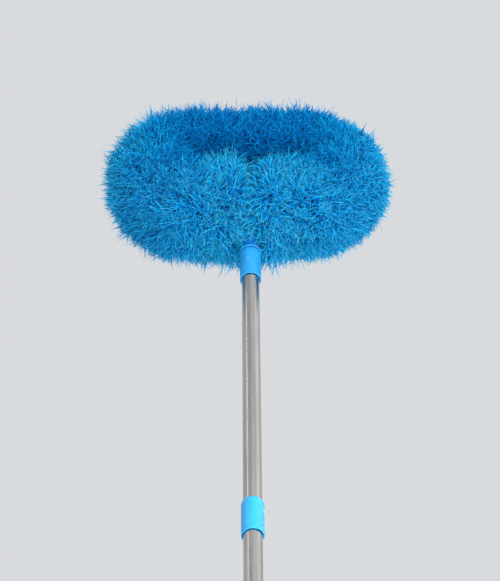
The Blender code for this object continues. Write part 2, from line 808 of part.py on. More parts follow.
def strand_rows(start, stop, bent):
    """Roots of the strands between two lengths along the loop, in even cells.

    Yields each cell's length along the loop and its angle round the section.
    """
    rows = round(2 * STRAND_SPREAD * PILE_RADIUS / STRAND_PITCH)
    for row in range(rows):
        angle = STRAND_SPREAD * ((2 * row + 1) / rows - 1)
        outwards = PILE_RADIUS * math.cos(angle) if bent else 0
        width = (stop - start) * (1 + outwards / LOOP_END_RADIUS)
        cells = max(1, round(width / STRAND_PITCH))
        for cell in range(cells):
            yield start + (stop - start) * (cell + 1 / 2) / cells, angle


def make_strands(name, start, stop, bent, flip, parent):
    """Tapered strands that lean at random, each inside its own cell, so none cross."""
    rng = random.Random(f"{STRAND_SEED} {name}")
    build = bmesh.new()
    for place, angle in strand_rows(start, stop, bent):
        middle, out, ahead = loop_frame(place)
        normal = out * math.cos(angle) + Vector((0, math.sin(angle), 0))
        around = out * -math.sin(angle) + Vector((0, math.cos(angle), 0))
        shift = ahead * rng.uniform(-1, 1) + around * rng.uniform(-1, 1)
        lean = ahead * rng.uniform(-1, 1) + around * rng.uniform(-1, 1)
        reach = rng.uniform(STRAND_REACH_LOW, STRAND_REACH_HIGH)
        turn = rng.uniform(0, math.tau)
        root = middle + normal * (PILE_RADIUS - STRAND_SINK) + shift * STRAND_JITTER
        tip = middle + normal * (PILE_RADIUS + reach) + shift * STRAND_JITTER
        tip += lean * STRAND_LEAN
        if flip:
            root, tip = mirrored(root), mirrored(tip)
        if in_notch(root):
            continue
        axis = tip - root
        turned_to = axis.to_track_quat("Z", "Y").to_matrix().to_4x4()
        spin = Matrix.Rotation(turn, 4, "Z")
        matrix = Matrix.Translation((root + tip) / 2) @ turned_to @ spin
        bmesh.ops.create_cone(
            build,
            cap_ends=True,
            segments=STRAND_SIDES,
            radius1=STRAND_RADIUS,
            radius2=0,
            depth=axis.length,
            matrix=matrix,
        )
    bmesh.ops.remove_doubles(build, verts=build.verts, dist=WELD_DISTANCE)
    bmesh.ops.recalc_face_normals(build, faces=build.faces)
    mesh = bpy.data.meshes.new(name)
    build.to_mesh(mesh)
    build.free()
    strands = add_object(name, mesh)
    strands.parent = parent
    return strands


def finish_pile(piece, start, stop, bent, flip, cutters):
    """Join a pile piece's strands, between two lengths along the loop, and cut its bores."""
    strands = make_strands(piece.name + "_strands", start, stop, bent, flip, piece.parent)
    join(piece, strands)
    cut(piece, *cutters)


def make_pile_bar(name, left, right, height, outward, parent):
    """A straight run of pile along X, its round side up or down."""
    section = [(outward * u, v) for u, v in pile_section()]
    piece = extruded(name, section, left, right, PILE)
    to_world = Matrix(((0, 0, 1, 0), (0, 1, 0, 0), (1, 0, 0, 0), (0, 0, 0, 1)))
    piece.data.transform(Matrix.Translation((0, 0, height)) @ to_world)
    piece.data.flip_normals()
    piece.parent = parent
    return piece


def make_pile_corner(name, side, half, parent):
    """A quarter turn of pile round one end of the slot."""
    section = [(LOOP_END_RADIUS + u, v) for u, v in pile_section()]
    piece = add_object(name, outline_mesh(name, section, closed=True), PILE)
    screw = piece.modifiers.new("turn", "SCREW")
    screw.angle = math.pi / 2
    screw.steps = screw.render_steps = PILE_CORNER_STEPS
    screw.use_merge_vertices = False
    piece = frozen(piece)
    right, top = side == "right", half == "top"
    first_degrees = (90 if right else 180) if top else (0 if right else 270)
    spin = Matrix.Rotation(math.radians(-first_degrees), 4, "Z")
    upright = Matrix.Rotation(math.radians(-90), 4, "X")
    x = LOOP_STRAIGHT_HALF + TOUCH_GAP / 2
    z = TOUCH_GAP / 2 if top else -TOUCH_GAP / 2
    place = Matrix.Translation((x if right else -x, 0, SLOT_HEIGHT + z))
    piece.data.transform(place @ upright @ spin)
    piece.parent = parent
    return piece


def make_pile(parent):
    bore = swept("pile_bore", loop_points(), PILE_BORE_RADIUS, cyclic=True)
    room_ends = (BARREL_ROOM_HALF_LENGTH, -BARREL_ROOM_HALF_LENGTH)
    room = bar("barrel_room", BARREL_ROOM_RADIUS, *room_ends)
    along_x(room, BARREL_HEIGHT)
    foot = BARREL_HEIGHT - PILE_RADIUS - CUT_OVERRUN
    profile = [(0, BARREL_HEIGHT), (STEM_ROOM_RADIUS, BARREL_HEIGHT)]
    profile += [(notch_radius(foot), foot), (0, foot)]
    notch = turned("neck_notch", profile)
    for cutter in (bore, room, notch):
        cutter.parent = parent
    lower = LOOP_STRAIGHT_HALF
    middle = lower + math.pi / 2 * LOOP_END_RADIUS
    upper = lower + math.pi * LOOP_END_RADIUS
    near, far = TOUCH_GAP / 2, LOOP_STRAIGHT_HALF - TOUCH_GAP / 2
    top = make_pile_bar("pile_top", -far, far, TOP_BAR_HEIGHT, 1, parent)
    finish_pile(top, upper, upper + 2 * LOOP_STRAIGHT_HALF, False, False, [bore])
    for side, flip in (("left", True), ("right", False)):
        ends = (-far, -near) if flip else (near, far)
        low = make_pile_bar(f"pile_bottom_{side}", *ends, BARREL_HEIGHT, -1, parent)
        finish_pile(low, 0, lower, False, flip, [bore, room, notch])
        low_corner = make_pile_corner(f"pile_corner_bottom_{side}", side, "bottom", parent)
        finish_pile(low_corner, lower, middle, True, flip, [bore])
        top_corner = make_pile_corner(f"pile_corner_top_{side}", side, "top", parent)
        finish_pile(top_corner, middle, upper, True, flip, [bore])


# The whole duster

def make_handle():
    handle = frame("handle_frame", 0)
    make_tube("lower_tube", GRIP_BOTTOM, handle)
    make_sleeve("lower_sleeve", HANDLE_SHOULDER, handle)
    make_washer("lower_washer", HANDLE_SHOULDER, handle)
    make_grip(handle)
    make_end_cap(handle)
    return handle


def make_section(name, shoulder, below):
    """One pole section with a plug at its foot and a sleeve at its head."""
    section = frame(f"{name}_frame", shoulder, below)
    make_plug(f"{name}_plug", section)
    make_tube(f"{name}_tube", TUBE_BOTTOM, section)
    make_sleeve(f"{name}_sleeve", SECTION_RISE, section)
    make_washer(f"{name}_washer", SECTION_RISE, section)
    return section


def make_head(below):
    head = frame("head_frame", SECTION_RISE, below)
    make_hub(head)
    make_loop(head)
    for side, sign in (("left", -1), ("right", 1)):
        make_ferrule(side, sign, head)
        make_ferrule_screw(side, sign, head)
        make_cuff(side, sign, head)
    make_pile(head)


def main():
    handle = make_handle()
    middle = make_section("middle", HANDLE_SHOULDER, handle)
    upper = make_section("upper", SECTION_RISE, middle)
    make_head(upper)


main()
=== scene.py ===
"""Fine surfaces and finishes of a ceiling fan duster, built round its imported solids.

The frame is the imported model's, in metres: z runs up the pole from the middle of the hand grip, x along
the loop's long side and y through the loop. Sizes of pieces are millimetres where nothing else is said.
"""

import logging
import math
from collections.abc import Callable, Sequence
from dataclasses import dataclass, field, replace
from enum import Enum
from typing import Protocol

import bpy
import numpy as np
from mathutils import Matrix, Vector


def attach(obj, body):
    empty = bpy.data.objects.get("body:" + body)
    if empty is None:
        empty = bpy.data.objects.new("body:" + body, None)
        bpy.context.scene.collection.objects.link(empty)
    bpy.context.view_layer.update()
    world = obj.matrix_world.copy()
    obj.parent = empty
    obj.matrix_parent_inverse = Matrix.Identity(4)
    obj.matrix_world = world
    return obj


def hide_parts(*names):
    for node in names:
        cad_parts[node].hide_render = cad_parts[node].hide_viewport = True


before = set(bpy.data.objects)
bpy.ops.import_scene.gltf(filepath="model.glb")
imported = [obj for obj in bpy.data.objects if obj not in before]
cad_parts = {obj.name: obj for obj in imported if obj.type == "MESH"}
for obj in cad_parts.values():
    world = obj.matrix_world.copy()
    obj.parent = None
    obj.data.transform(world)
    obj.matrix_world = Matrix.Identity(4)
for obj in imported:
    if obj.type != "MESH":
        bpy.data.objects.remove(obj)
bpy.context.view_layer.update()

Array = np.ndarray
Pair = tuple[float, float]
Triple = tuple[float, float, float]
Corner = Triple
Place = Triple
Colour = Triple
Socket = bpy.types.NodeSocket
Tree = bpy.types.NodeTree

LOG = logging.getLogger("duster")
MM = 0.001
FULL_TURN = 2 * math.pi
# The root of p³ = p + 1, whose powers spread points evenly over an area.
PLASTIC = 1.3247179572447460
STRAND_MAP = "OFBake"
KNIT_MAP = "knit"
SIDES = (("left", -1), ("right", 1))
X_WAY: Place = (1, 0, 0)
Y_WAY: Place = (0, 1, 0)
Z_WAY: Place = (0, 0, 1)


class Slot(Enum):
    """The record's material slots."""

    STEEL = "tube_steel"
    BLUE = "blue_plastic"
    HUB = "hub_plastic"
    RUBBER = "seal_rubber"
    WIRE = "spring_wire"
    SHEATH = "sheath_plastic"
    FABRIC = "cover_fabric"
    PILE = "pile"


class Body(Enum):
    """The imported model's moving bodies."""

    HANDLE = "handle"
    LOWER_SEAL = "lower_seal"
    MIDDLE = "middle_section"
    MIDDLE_SEAL = "middle_seal"
    UPPER = "upper_section"
    UPPER_SEAL = "upper_seal"
    HEAD = "head"


def smooth_step(value: Array) -> Array:
    """Goes from 0 to 1 with level ends as value goes from 0 to 1: 3v² - 2v³."""
    held = np.clip(value, 0, 1)
    return held * held * (3 - 2 * held)


def unit(vectors: Array) -> Array:
    """The vectors, each divided by its length."""
    return vectors / np.maximum(np.linalg.norm(vectors, axis=-1, keepdims=True), 1e-12)


@dataclass(frozen=True)
class Fade:
    """A smooth step from 0 at one value to 1 at another, which may be the lower of the two."""

    none: float
    full: float

    def at(self, value: Array) -> Array:
        """The smooth step of value's share of the way from none to full."""
        return smooth_step((value - self.none) / (self.full - self.none))


@dataclass(frozen=True)
class Wall:
    """Points about an axis, in metres.

    Args:
        reach: Their distances from the axis.
        along: Their distances on the axis.
        angle: Their angles round it.
    """

    reach: Array
    along: Array
    angle: Array

    def moved(self, where: Array, reach: Array) -> "Wall":
        """The same points, those that lie where it says at a new reach."""
        return replace(self, reach=np.where(where, reach, self.reach))


Carve = Callable[[Wall], Wall]


class Axis(Protocol):
    """A line that a profile is carried round."""

    def place(self, wall: Wall) -> Array:
        """The points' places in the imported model's frame."""


@dataclass(frozen=True)
class Line:
    """A straight axis through origin in direction ahead; angle 0 lies towards side."""

    origin: Place = (0, 0, 0)
    ahead: Place = Z_WAY
    side: Place = X_WAY

    def place(self, wall: Wall) -> Array:
        """origin + along·ahead + reach·(cos angle·side + sin angle·(ahead × side)).

        Args:
            wall: The points about this axis.

        Returns:
            Their places.
        """
        ahead, side = np.array(self.ahead, float), np.array(self.side, float)
        across = (wall.reach * np.cos(wall.angle))[..., None] * side
        over = (wall.reach * np.sin(wall.angle))[..., None] * np.cross(ahead, side)
        return np.array(self.origin, float) + wall.along[..., None] * ahead + across + over


@dataclass(frozen=True)
class LoopPath:
    """The loop's middle line, in metres: two straight bars joined by two half circles.

    Distance on it counts from the middle of the lower bar towards +x. Angle 0 lies away from
    the slot and a quarter turn lies towards +y.
    """

    half_bar: float = 62.5 * MM
    bend: float = 55.5 * MM
    slot_height: float = 1.4866

    @property
    def length(self) -> float:
        """The length of the whole loop."""
        return 4 * self.half_bar + FULL_TURN * self.bend

    @property
    def knots(self) -> Array:
        """The distances at which the lower half bar, bend, upper bar, bend and half bar end."""
        arc = math.pi * self.bend
        return np.cumsum([0, self.half_bar, arc, 2 * self.half_bar, arc, self.half_bar])

    def place(self, wall: Wall) -> Array:
        """A point off the loop: the middle line's point plus reach·(cos angle·n + sin angle·y).

        n is (cos a, 0, sin a), where a turns from -90° to 90° and on to 270° in the bends, and the
        middle line is (shift, 0, slot) + bend·n, where shift runs along the bars.

        Args:
            wall: The points about the loop.

        Returns:
            Their places.
        """
        half = self.half_bar
        turned = np.interp(wall.along, self.knots, np.radians([-90, -90, 90, 90, 270, 270]))
        shift = np.interp(wall.along, self.knots, [0, half, half, -half, -half, 0])
        out, flat = self.bend + wall.reach * np.cos(wall.angle), wall.reach * np.sin(wall.angle)
        x, z = shift + out * np.cos(turned), self.slot_height + out * np.sin(turned)
        return np.stack(np.broadcast_arrays(x, flat, z), -1)

    def bends(self, along: Array) -> Array:
        """1 in the half circles and 0 on the bars."""
        low, high, second, end = self.knots[1:5]
        return (((along > low) & (along < high)) | ((along > second) & (along < end))).astype(float)


@dataclass(frozen=True)
class Profile:
    """A section to be carried round an axis, with its material on the left of its direction.

    Args:
        reach: Distance from the axis of each point, in metres.
        along: Distance on the axis of each point, in metres.
        edge: 1 on an outer edge that rubs, 0 elsewhere.
        closed: True for a ring; an open profile starts and ends on the axis.
    """

    reach: Array
    along: Array
    edge: Array
    closed: bool

    @classmethod
    def rounded(cls, corners: Sequence[Corner], closed: bool = True, steps: int = 4) -> "Profile":
        """A profile through corners, each an arc that touches both of its sides.

        Args:
            corners: (reach, along, rounding) in millimetres.
            closed: True for a ring.
            steps: Spans in each arc. A point on either side of it keeps the flats flat.

        Returns:
            The profile.
        """
        longest_share, flat_share, flat_most = 0.44, 0.04, 0.25
        spots = np.array(corners, float)[:, :2]
        points, edges = [], []
        for i, (_, _, rounding) in enumerate(corners):
            here = spots[i]
            if rounding == 0 or (not closed and i in (0, len(corners) - 1)):
                points.append(here[None])
                edges.append([0.0])
                continue
            back, ahead = spots[i - 1] - here, spots[(i + 1) % len(spots)] - here
            sides = np.array([np.linalg.norm(back), np.linalg.norm(ahead)])
            u, v = back / sides[0], ahead / sides[1]
            half = math.acos(np.clip(u @ v, -1, 1)) / 2
            cut = min(rounding / math.tan(half), longest_share * sides.min())
            centre = here + (u + v) / np.linalg.norm(u + v) * cut / math.cos(half)
            start, stop = here + u * cut - centre, here + v * cut - centre
            sweep = math.pi - 2 * half
            t = np.linspace(0, 1, steps + 1)[:, None]
            arc = (np.sin((1 - t) * sweep) * start + np.sin(t * sweep) * stop) / math.sin(sweep)
            extra = cut + np.minimum(flat_most, flat_share * sides)
            points.append(np.concatenate([[here + u * extra[0]], centre + arc, [here + v * extra[1]]]))
            outer = float(v[1] * -u[0] - v[0] * -u[1] > 0)
            edges.append([0.0] + [outer] * (steps + 1) + [0.0])
        found = np.concatenate(points) * MM
        return cls(found[:, 0], found[:, 1], np.concatenate(edges), closed)

    def raised(self, height: float) -> "Profile":
        """The same profile, further on along its axis."""
        return replace(self, along=self.along + height)

    def dense(self, gap: float, low: float = -math.inf, high: float = math.inf) -> "Profile":
        """The same profile, its spans between low and high cut so that none is over gap.

        Args:
            gap: The longest span, in metres.
            low: Where the cut spans start on the axis.
            high: Where they end.

        Returns:
            The finer profile.
        """
        last = self.closed * 1
        reach, along, edge = (np.append(v, v[:last]) for v in (self.reach, self.along, self.edge))
        inside = (np.minimum(along[1:], along[:-1]) >= low) & (np.maximum(along[1:], along[:-1]) <= high)
        spans = np.where(inside, np.ceil(np.hypot(np.diff(reach), np.diff(along)) / gap), 1)
        spans = np.maximum(spans, 1).astype(int)
        start = np.repeat(np.arange(len(spans)), spans)
        at = start + (np.arange(spans.sum()) - np.repeat(np.cumsum(spans) - spans, spans)) / spans[start]
        if not self.closed:
            at = np.append(at, len(spans))
        knots = np.arange(len(reach))
        return Profile(*(np.interp(at, knots, v) for v in (reach, along, edge)), self.closed)


@dataclass(frozen=True)
class Shape:
    """A surface as whole arrays.

    Args:
        points: The corners, (n, 3), in metres.
        faces: Corner numbers of triangles (m, 3) and quads (m, 4).
        edge: For each corner, 1 on an outer edge that rubs and 0 elsewhere.
        maps: UV maps by name, (corners of faces, 2).
    """

    points: Array
    faces: list[Array]
    edge: Array
    maps: dict[str, Array] = field(default_factory=dict)

    def __add__(self, other: "Shape") -> "Shape":
        """Both surfaces as one, without their maps.

        Args:
            other: The other surface.

        Returns:
            The joined surface.
        """
        faces = self.faces + [f + len(self.points) for f in other.faces]
        points = np.concatenate([self.points, other.points])
        return Shape(points, faces, np.concatenate([self.edge, other.edge]))

    def knitted(self) -> "Shape":
        """A wrapped grid of quads, mapped for its knit: across by column and up by row.

        Each quad's corners are its own, so that the map has no tear where the grid closes.

        Returns:
            The surface with its map.
        """
        quads = self.faces[0]
        columns = quads[0, 3] - quads[0, 0]
        row, column = np.divmod(np.arange(len(quads)), columns)
        across = np.stack([column, column + 1, column + 1, column], 1) / columns
        up = np.stack([row, row, row + 1, row + 1], 1) / (len(quads) // columns)
        return replace(self, maps={KNIT_MAP: np.stack([across, up], -1)})

    def mesh(self, name: str) -> bpy.types.Mesh:
        """A smooth mesh of the surface, with its edge values as an attribute.

        Args:
            name: The mesh's name.

        Returns:
            The mesh.
        """
        made = bpy.data.meshes.new(name)
        corners = np.concatenate([f.ravel() for f in self.faces]).astype(np.int32)
        sides = np.concatenate([np.full(len(f), f.shape[1]) for f in self.faces])
        made.vertices.add(len(self.points))
        made.vertices.foreach_set("co", self.points.astype(np.float32).ravel())
        made.loops.add(len(corners))
        made.loops.foreach_set("vertex_index", corners)
        made.polygons.add(len(sides))
        made.polygons.foreach_set("loop_start", (np.cumsum(sides) - sides).astype(np.int32))
        made.attributes.new("edge", "FLOAT", "POINT").data.foreach_set("value", self.edge.astype(np.float32))
        made.update(calc_edges=True)
        made.shade_smooth()
        for label, spread in self.maps.items():
            made.uv_layers.new(name=label).data.foreach_set("uv", spread.astype(np.float32).ravel())
        return made


def skin(grid: Array, edge: Array, wrap: bool, poles: Array | None = None) -> Shape:
    """Quads over a grid whose columns close on themselves.

    Args:
        grid: Points, (rows, columns, 3). Columns run counter-clockwise round the direction of rows.
        edge: Edge values, (rows, columns).
        wrap: True where the last row joins the first; otherwise each end is closed by a fan.
        poles: The two fans' middle points.

    Returns:
        The surface.
    """
    rows, columns = grid.shape[:2]
    here = np.arange(rows * columns).reshape(rows, columns)
    beside = np.roll(here, -1, 1)
    quads = np.stack([here, beside, np.roll(beside, -1, 0), np.roll(here, -1, 0)], -1)
    points = grid.reshape(-1, 3)
    if wrap:
        return Shape(points, [quads.reshape(-1, 4)], edge.ravel())
    ends = grid[[0, -1]].mean(1) if poles is None else poles
    first, last = np.full(columns, len(points)), np.full(columns, len(points) + 1)
    fans = [np.stack([first, beside[0], here[0]], 1), np.stack([here[-1], beside[-1], last], 1)]
    faces = [quads[:-1].reshape(-1, 4), *fans]
    return Shape(np.concatenate([points, ends]), faces, np.append(edge.ravel(), [0, 0]))


def carried(profile: Profile, axis: Axis, segments: int, carve: Carve | None = None) -> Shape:
    """Carries a profile round an axis: axis.place(reach, along, angle) over profile and angle.

    Args:
        profile: The section.
        axis: What it goes round.
        segments: Steps in the turn.
        carve: Moves the wall's points, where the form isn't round.

    Returns:
        The surface.
    """
    turn = np.linspace(0, FULL_TURN, segments, endpoint=False)
    columns = (profile.reach[:, None], profile.along[:, None], turn, profile.edge[:, None])
    reach, along, angle, edge = np.broadcast_arrays(*columns)
    wall = Wall(reach, along, angle)
    if carve:
        wall = carve(wall)
    grid = axis.place(wall)
    if profile.closed:
        return skin(grid, edge, True)
    poles = Wall(np.zeros(2), wall.along[[0, -1]].mean(1), np.zeros(2))
    return skin(grid[1:-1], edge[1:-1], False, axis.place(poles))


class Net:
    """A node tree being laid out."""

    def __init__(self, tree: Tree) -> None:
        """Starts on an existing tree."""
        self.tree = tree

    def node(
        self, kind: str, inputs: dict[str | int, object] | None = None, **settings: object
    ) -> bpy.types.Node:
        """Adds a node.

        Args:
            kind: The node's type.
            inputs: A value or another node's socket for each named input. A colour has three parts.
            settings: The node's own properties.

        Returns:
            The node.
        """
        made = self.tree.nodes.new(kind)
        for name, value in settings.items():
            setattr(made, name, value)
        for name, value in (inputs or {}).items():
            socket = made.inputs[name]
            if isinstance(value, Socket):
                self.tree.links.new(value, socket)
            else:
                socket.default_value = (*value, 1) if socket.type == "RGBA" else value
        return made

    @property
    def place(self) -> Socket:
        """The surface's Object coordinates."""
        return self.node("ShaderNodeTexCoord").outputs["Object"]

    @property
    def edge(self) -> Socket:
        """The mesh's edge attribute."""
        return self.node("ShaderNodeAttribute", attribute_name="edge").outputs["Fac"]

    def spread(self, name: str) -> Socket:
        """The UV map of that name."""
        return self.node("ShaderNodeUVMap", uv_map=name).outputs[0]

    def parts(self, place: object) -> Sequence[Socket]:
        """A place's three coordinates."""
        return self.node("ShaderNodeSeparateXYZ", {0: place}).outputs

    def math(self, operation: str, first: object, second: object = 0.0) -> Socket:
        """One arithmetic step on two values."""
        return self.node("ShaderNodeMath", {0: first, 1: second}, operation=operation).outputs[0]

    def times(self, first: object, second: object) -> Socket:
        """The product of two values."""
        return self.math("MULTIPLY", first, second)

    def plus(self, first: object, second: object) -> Socket:
        """The sum of two values."""
        return self.math("ADD", first, second)

    def scaled(self, place: object, scale: Place) -> Socket:
        """A place with each coordinate multiplied."""
        return self.node("ShaderNodeVectorMath", {0: place, 1: scale}, operation="MULTIPLY").outputs[0]

    def noise(self, place: object, scale: object, detail: float = 2.0, rough: float = 0.5) -> Socket:
        """Soft noise from 0 to 1."""
        inputs = {"Vector": place, "Scale": scale, "Detail": detail, "Roughness": rough}
        return self.node("ShaderNodeTexNoise", inputs).outputs[0]

    def span(self, value: object, low: float, high: float, start: float = 0.0, end: float = 1.0) -> Socket:
        """Value from low to high, as start to end, with level ends."""
        inputs = {0: value, 1: low, 2: high, 3: start, 4: end}
        return self.node("ShaderNodeMapRange", inputs, interpolation_type="SMOOTHSTEP").outputs[0]

    def mix(self, factor: object, first: object, second: object) -> Socket:
        """Two colours blended."""
        return self.node("ShaderNodeMix", {0: factor, 6: first, 7: second}, data_type="RGBA").outputs[2]

    def ramp(self, value: object, stops: Sequence[tuple[float, Colour]]) -> Socket:
        """A colour that runs through stops.

        Args:
            value: Where on the ramp.
            stops: The place and colour of each, two or more.

        Returns:
            The colour's socket.
        """
        made = self.node("ShaderNodeValToRGB", {0: value})
        band = made.color_ramp.elements
        for i, (place, colour) in enumerate(stops):
            stop = band[i] if i < 2 else band.new(place)
            stop.position, stop.color = place, (*colour, 1)
        return made.outputs[0]

    def bump(self, height: object, strength: float, depth: float) -> Socket:
        """A normal from a height."""
        inputs = {"Height": height, "Strength": strength, "Distance": depth}
        return self.node("ShaderNodeBump", inputs).outputs[0]

    def effect(self, tree: Tree, **inputs: object) -> Sequence[Socket]:
        """The outputs of a shared effect, placed with these inputs."""
        return self.node("ShaderNodeGroup", inputs, node_tree=tree).outputs

    def close(self, **inputs: object) -> None:
        """Ends a material with a Principled shader; an underscore in an input's name is a space."""
        named = {name.replace("_", " "): value for name, value in inputs.items()}
        shader = self.node("ShaderNodeBsdfPrincipled", named)
        self.node("ShaderNodeOutputMaterial", {0: shader.outputs[0]})


Lay = Callable[[Net, dict[str, Socket]], dict[str, Socket]]


def effect(name: str, inputs: Sequence[str], outputs: Sequence[str], lay: Lay) -> Tree:
    """A shader node group that materials share.

    Args:
        name: The group's name.
        inputs: Input names; one called Place is a vector and the rest are values.
        outputs: Output names, all values.
        lay: Lays out the group: takes the net and its inputs by name, returns sockets by output name.

    Returns:
        The group.
    """
    tree = bpy.data.node_groups.new(name, "ShaderNodeTree")
    for label in inputs:
        kind = "NodeSocketVector" if label == "Place" else "NodeSocketFloat"
        tree.interface.new_socket(name=label, in_out="INPUT", socket_type=kind)
    for label in outputs:
        tree.interface.new_socket(name=label, in_out="OUTPUT", socket_type="NodeSocketFloat")
    net = Net(tree)
    given = net.node("NodeGroupInput").outputs
    net.node("NodeGroupOutput", lay(net, {label: given[label] for label in inputs}))
    return tree


def lay_brushed(net: Net, given: dict[str, Socket]) -> dict[str, Socket]:
    """Fine and broad lines along z: noise whose z is squeezed almost flat.

    Args:
        net: The group's net.
        given: Place, and Fineness, the lines' frequency.

    Returns:
        Lines and Bands, both from 0 to 1.
    """
    line_squeeze, band_squeeze, band_share = (1, 1, 0.012), (1, 1, 0.02), 0.16
    fine = net.noise(net.scaled(given["Place"], line_squeeze), given["Fineness"], 3.0, 0.6)
    broad = net.noise(net.scaled(given["Place"], band_squeeze), net.times(given["Fineness"], band_share))
    return {"Lines": fine, "Bands": broad}


def lay_handling(net: Net, given: dict[str, Socket]) -> dict[str, Socket]:
    """Rubbed edges broken up by noise, broad smudges, and sparse hair-thin scratches.

    Args:
        net: The group's net.
        given: Place, Edge, and Scale, the grit's frequency.

    Returns:
        Rub, Smudge and Scratch, all from 0 to 1.
    """
    place, scale = given["Place"], given["Scale"]
    edge_share, grit_share, smudge_scale, hair_scale, patch_scale = 0.62, 0.7, 0.12, 2.2, 0.3
    grit = net.noise(place, scale, 4.0, 0.65)
    rub = net.span(net.plus(net.times(given["Edge"], edge_share), net.times(grit, grit_share)), 0.78, 1.05)
    smudge = net.noise(place, net.times(scale, smudge_scale), 3.0, 0.55)
    hair = net.noise(net.scaled(place, (1, 1, 0.06)), net.times(scale, hair_scale), 1.0)
    thin = net.span(net.math("ABSOLUTE", net.math("SUBTRACT", hair, 0.5)), 0.0, 0.006, 1.0, 0.0)
    patch = net.span(net.noise(place, net.times(scale, patch_scale), 1.0), 0.56, 0.66)
    return {"Rub": rub, "Smudge": smudge, "Scratch": net.times(thin, patch)}


def lay_moulded(net: Net, given: dict[str, Socket]) -> dict[str, Socket]:
    """The fine orange-peel grain of moulded plastic, a slow drift of tone, and a parting line at y 0.

    Args:
        net: The group's net.
        given: Place, and Scale, the grain's frequency.

    Returns:
        Grain, Drift and Parting, all from 0 to 1.
    """
    drift_scale, line_half, line_edge = 0.02, 0.08 * MM, 0.22 * MM
    grain = net.noise(given["Place"], given["Scale"])
    drift = net.noise(given["Place"], net.times(given["Scale"], drift_scale))
    parting = net.span(net.math("ABSOLUTE", net.parts(given["Place"])[1]), line_half, line_edge, 1.0, 0.0)
    return {"Grain": grain, "Drift": drift, "Parting": parting}


def lay_knit(net: Net, given: dict[str, Socket]) -> dict[str, Socket]:
    """Knitted stitches on a map: |sin π·wale|·|sin π·course|, each wale's courses slanted to its middle.

    Args:
        net: The group's net.
        given: Place on the map, and the counts of Wales across it and Courses up it.

    Returns:
        Stitch, 1 on a stitch's crown and 0 in the gaps.
    """
    across, up, _ = net.parts(given["Place"])
    wale = net.times(across, given["Wales"])
    course = net.plus(net.times(up, given["Courses"]), net.math("PINGPONG", wale, 0.5))
    ridge, stitch = (net.math("ABSOLUTE", net.math("SINE", net.times(v, math.pi))) for v in (wale, course))
    return {"Stitch": net.times(ridge, stitch)}


class Effects:
    """The shader node groups that several finishes share."""

    def __init__(self) -> None:
        """Builds each group once."""
        worn, grain = ["Rub", "Smudge", "Scratch"], ["Grain", "Drift", "Parting"]
        self.brushed = effect("brushed_lines", ["Place", "Fineness"], ["Lines", "Bands"], lay_brushed)
        self.handling = effect("handling_wear", ["Place", "Edge", "Scale"], worn, lay_handling)
        self.moulded = effect("moulded_grain", ["Place", "Scale"], grain, lay_moulded)
        self.knit = effect("knit_stitch", ["Place", "Wales", "Courses"], ["Stitch"], lay_knit)


@dataclass(frozen=True)
class Coat:
    """A finished material, and the record's slot that it belongs to."""

    slot: Slot
    material: bpy.types.Material


def begin(name: str) -> tuple[bpy.types.Material, Net]:
    """Starts a material.

    Args:
        name: Its name.

    Returns:
        The empty material and its net.
    """
    made = bpy.data.materials.new(name)
    made.use_nodes = True
    made.node_tree.nodes.clear()
    return made, Net(made.node_tree)


@dataclass(frozen=True)
class BrushedSteel:
    """Satin steel with lines along z, faint polishing bands and a few handling marks."""

    slot: Slot
    name: str
    light: Colour
    dark: Colour
    rough: Pair = (0.17, 0.27)
    fineness: float = 1500.0
    wear_scale: float = 260.0
    line_share: float = 0.55
    band_share: float = 0.45
    scratch: Colour = (0.85, 0.84, 0.82)
    scratch_share: float = 0.35
    scratch_depth: float = -0.6
    smudge_rough: Pair = (-0.02, 0.07)

    def coat(self, effects: Effects) -> Coat:
        """Makes the finish.

        Args:
            effects: The shared node groups.

        Returns:
            The finish.
        """
        made, net = begin(self.name)
        place = net.place
        brushed = net.effect(effects.brushed, Place=place, Fineness=self.fineness)
        worn = net.effect(effects.handling, Place=place, Edge=net.edge, Scale=self.wear_scale)
        lines, scratch = brushed["Lines"], worn["Scratch"]
        tone = net.plus(net.times(lines, self.line_share), net.times(brushed["Bands"], self.band_share))
        base = net.mix(net.span(tone, 0.32, 0.68), self.dark, self.light)
        base = net.mix(net.times(scratch, self.scratch_share), base, self.scratch)
        smudge = net.span(worn["Smudge"], 0.35, 0.75, *self.smudge_rough)
        rough = net.plus(net.span(lines, 0.3, 0.7, *self.rough), smudge)
        height = net.plus(lines, net.times(scratch, self.scratch_depth))
        net.close(Base_Color=base, Metallic=1.0, Roughness=rough, Normal=net.bump(height, 0.25, 0.04 * MM))
        return Coat(self.slot, made)


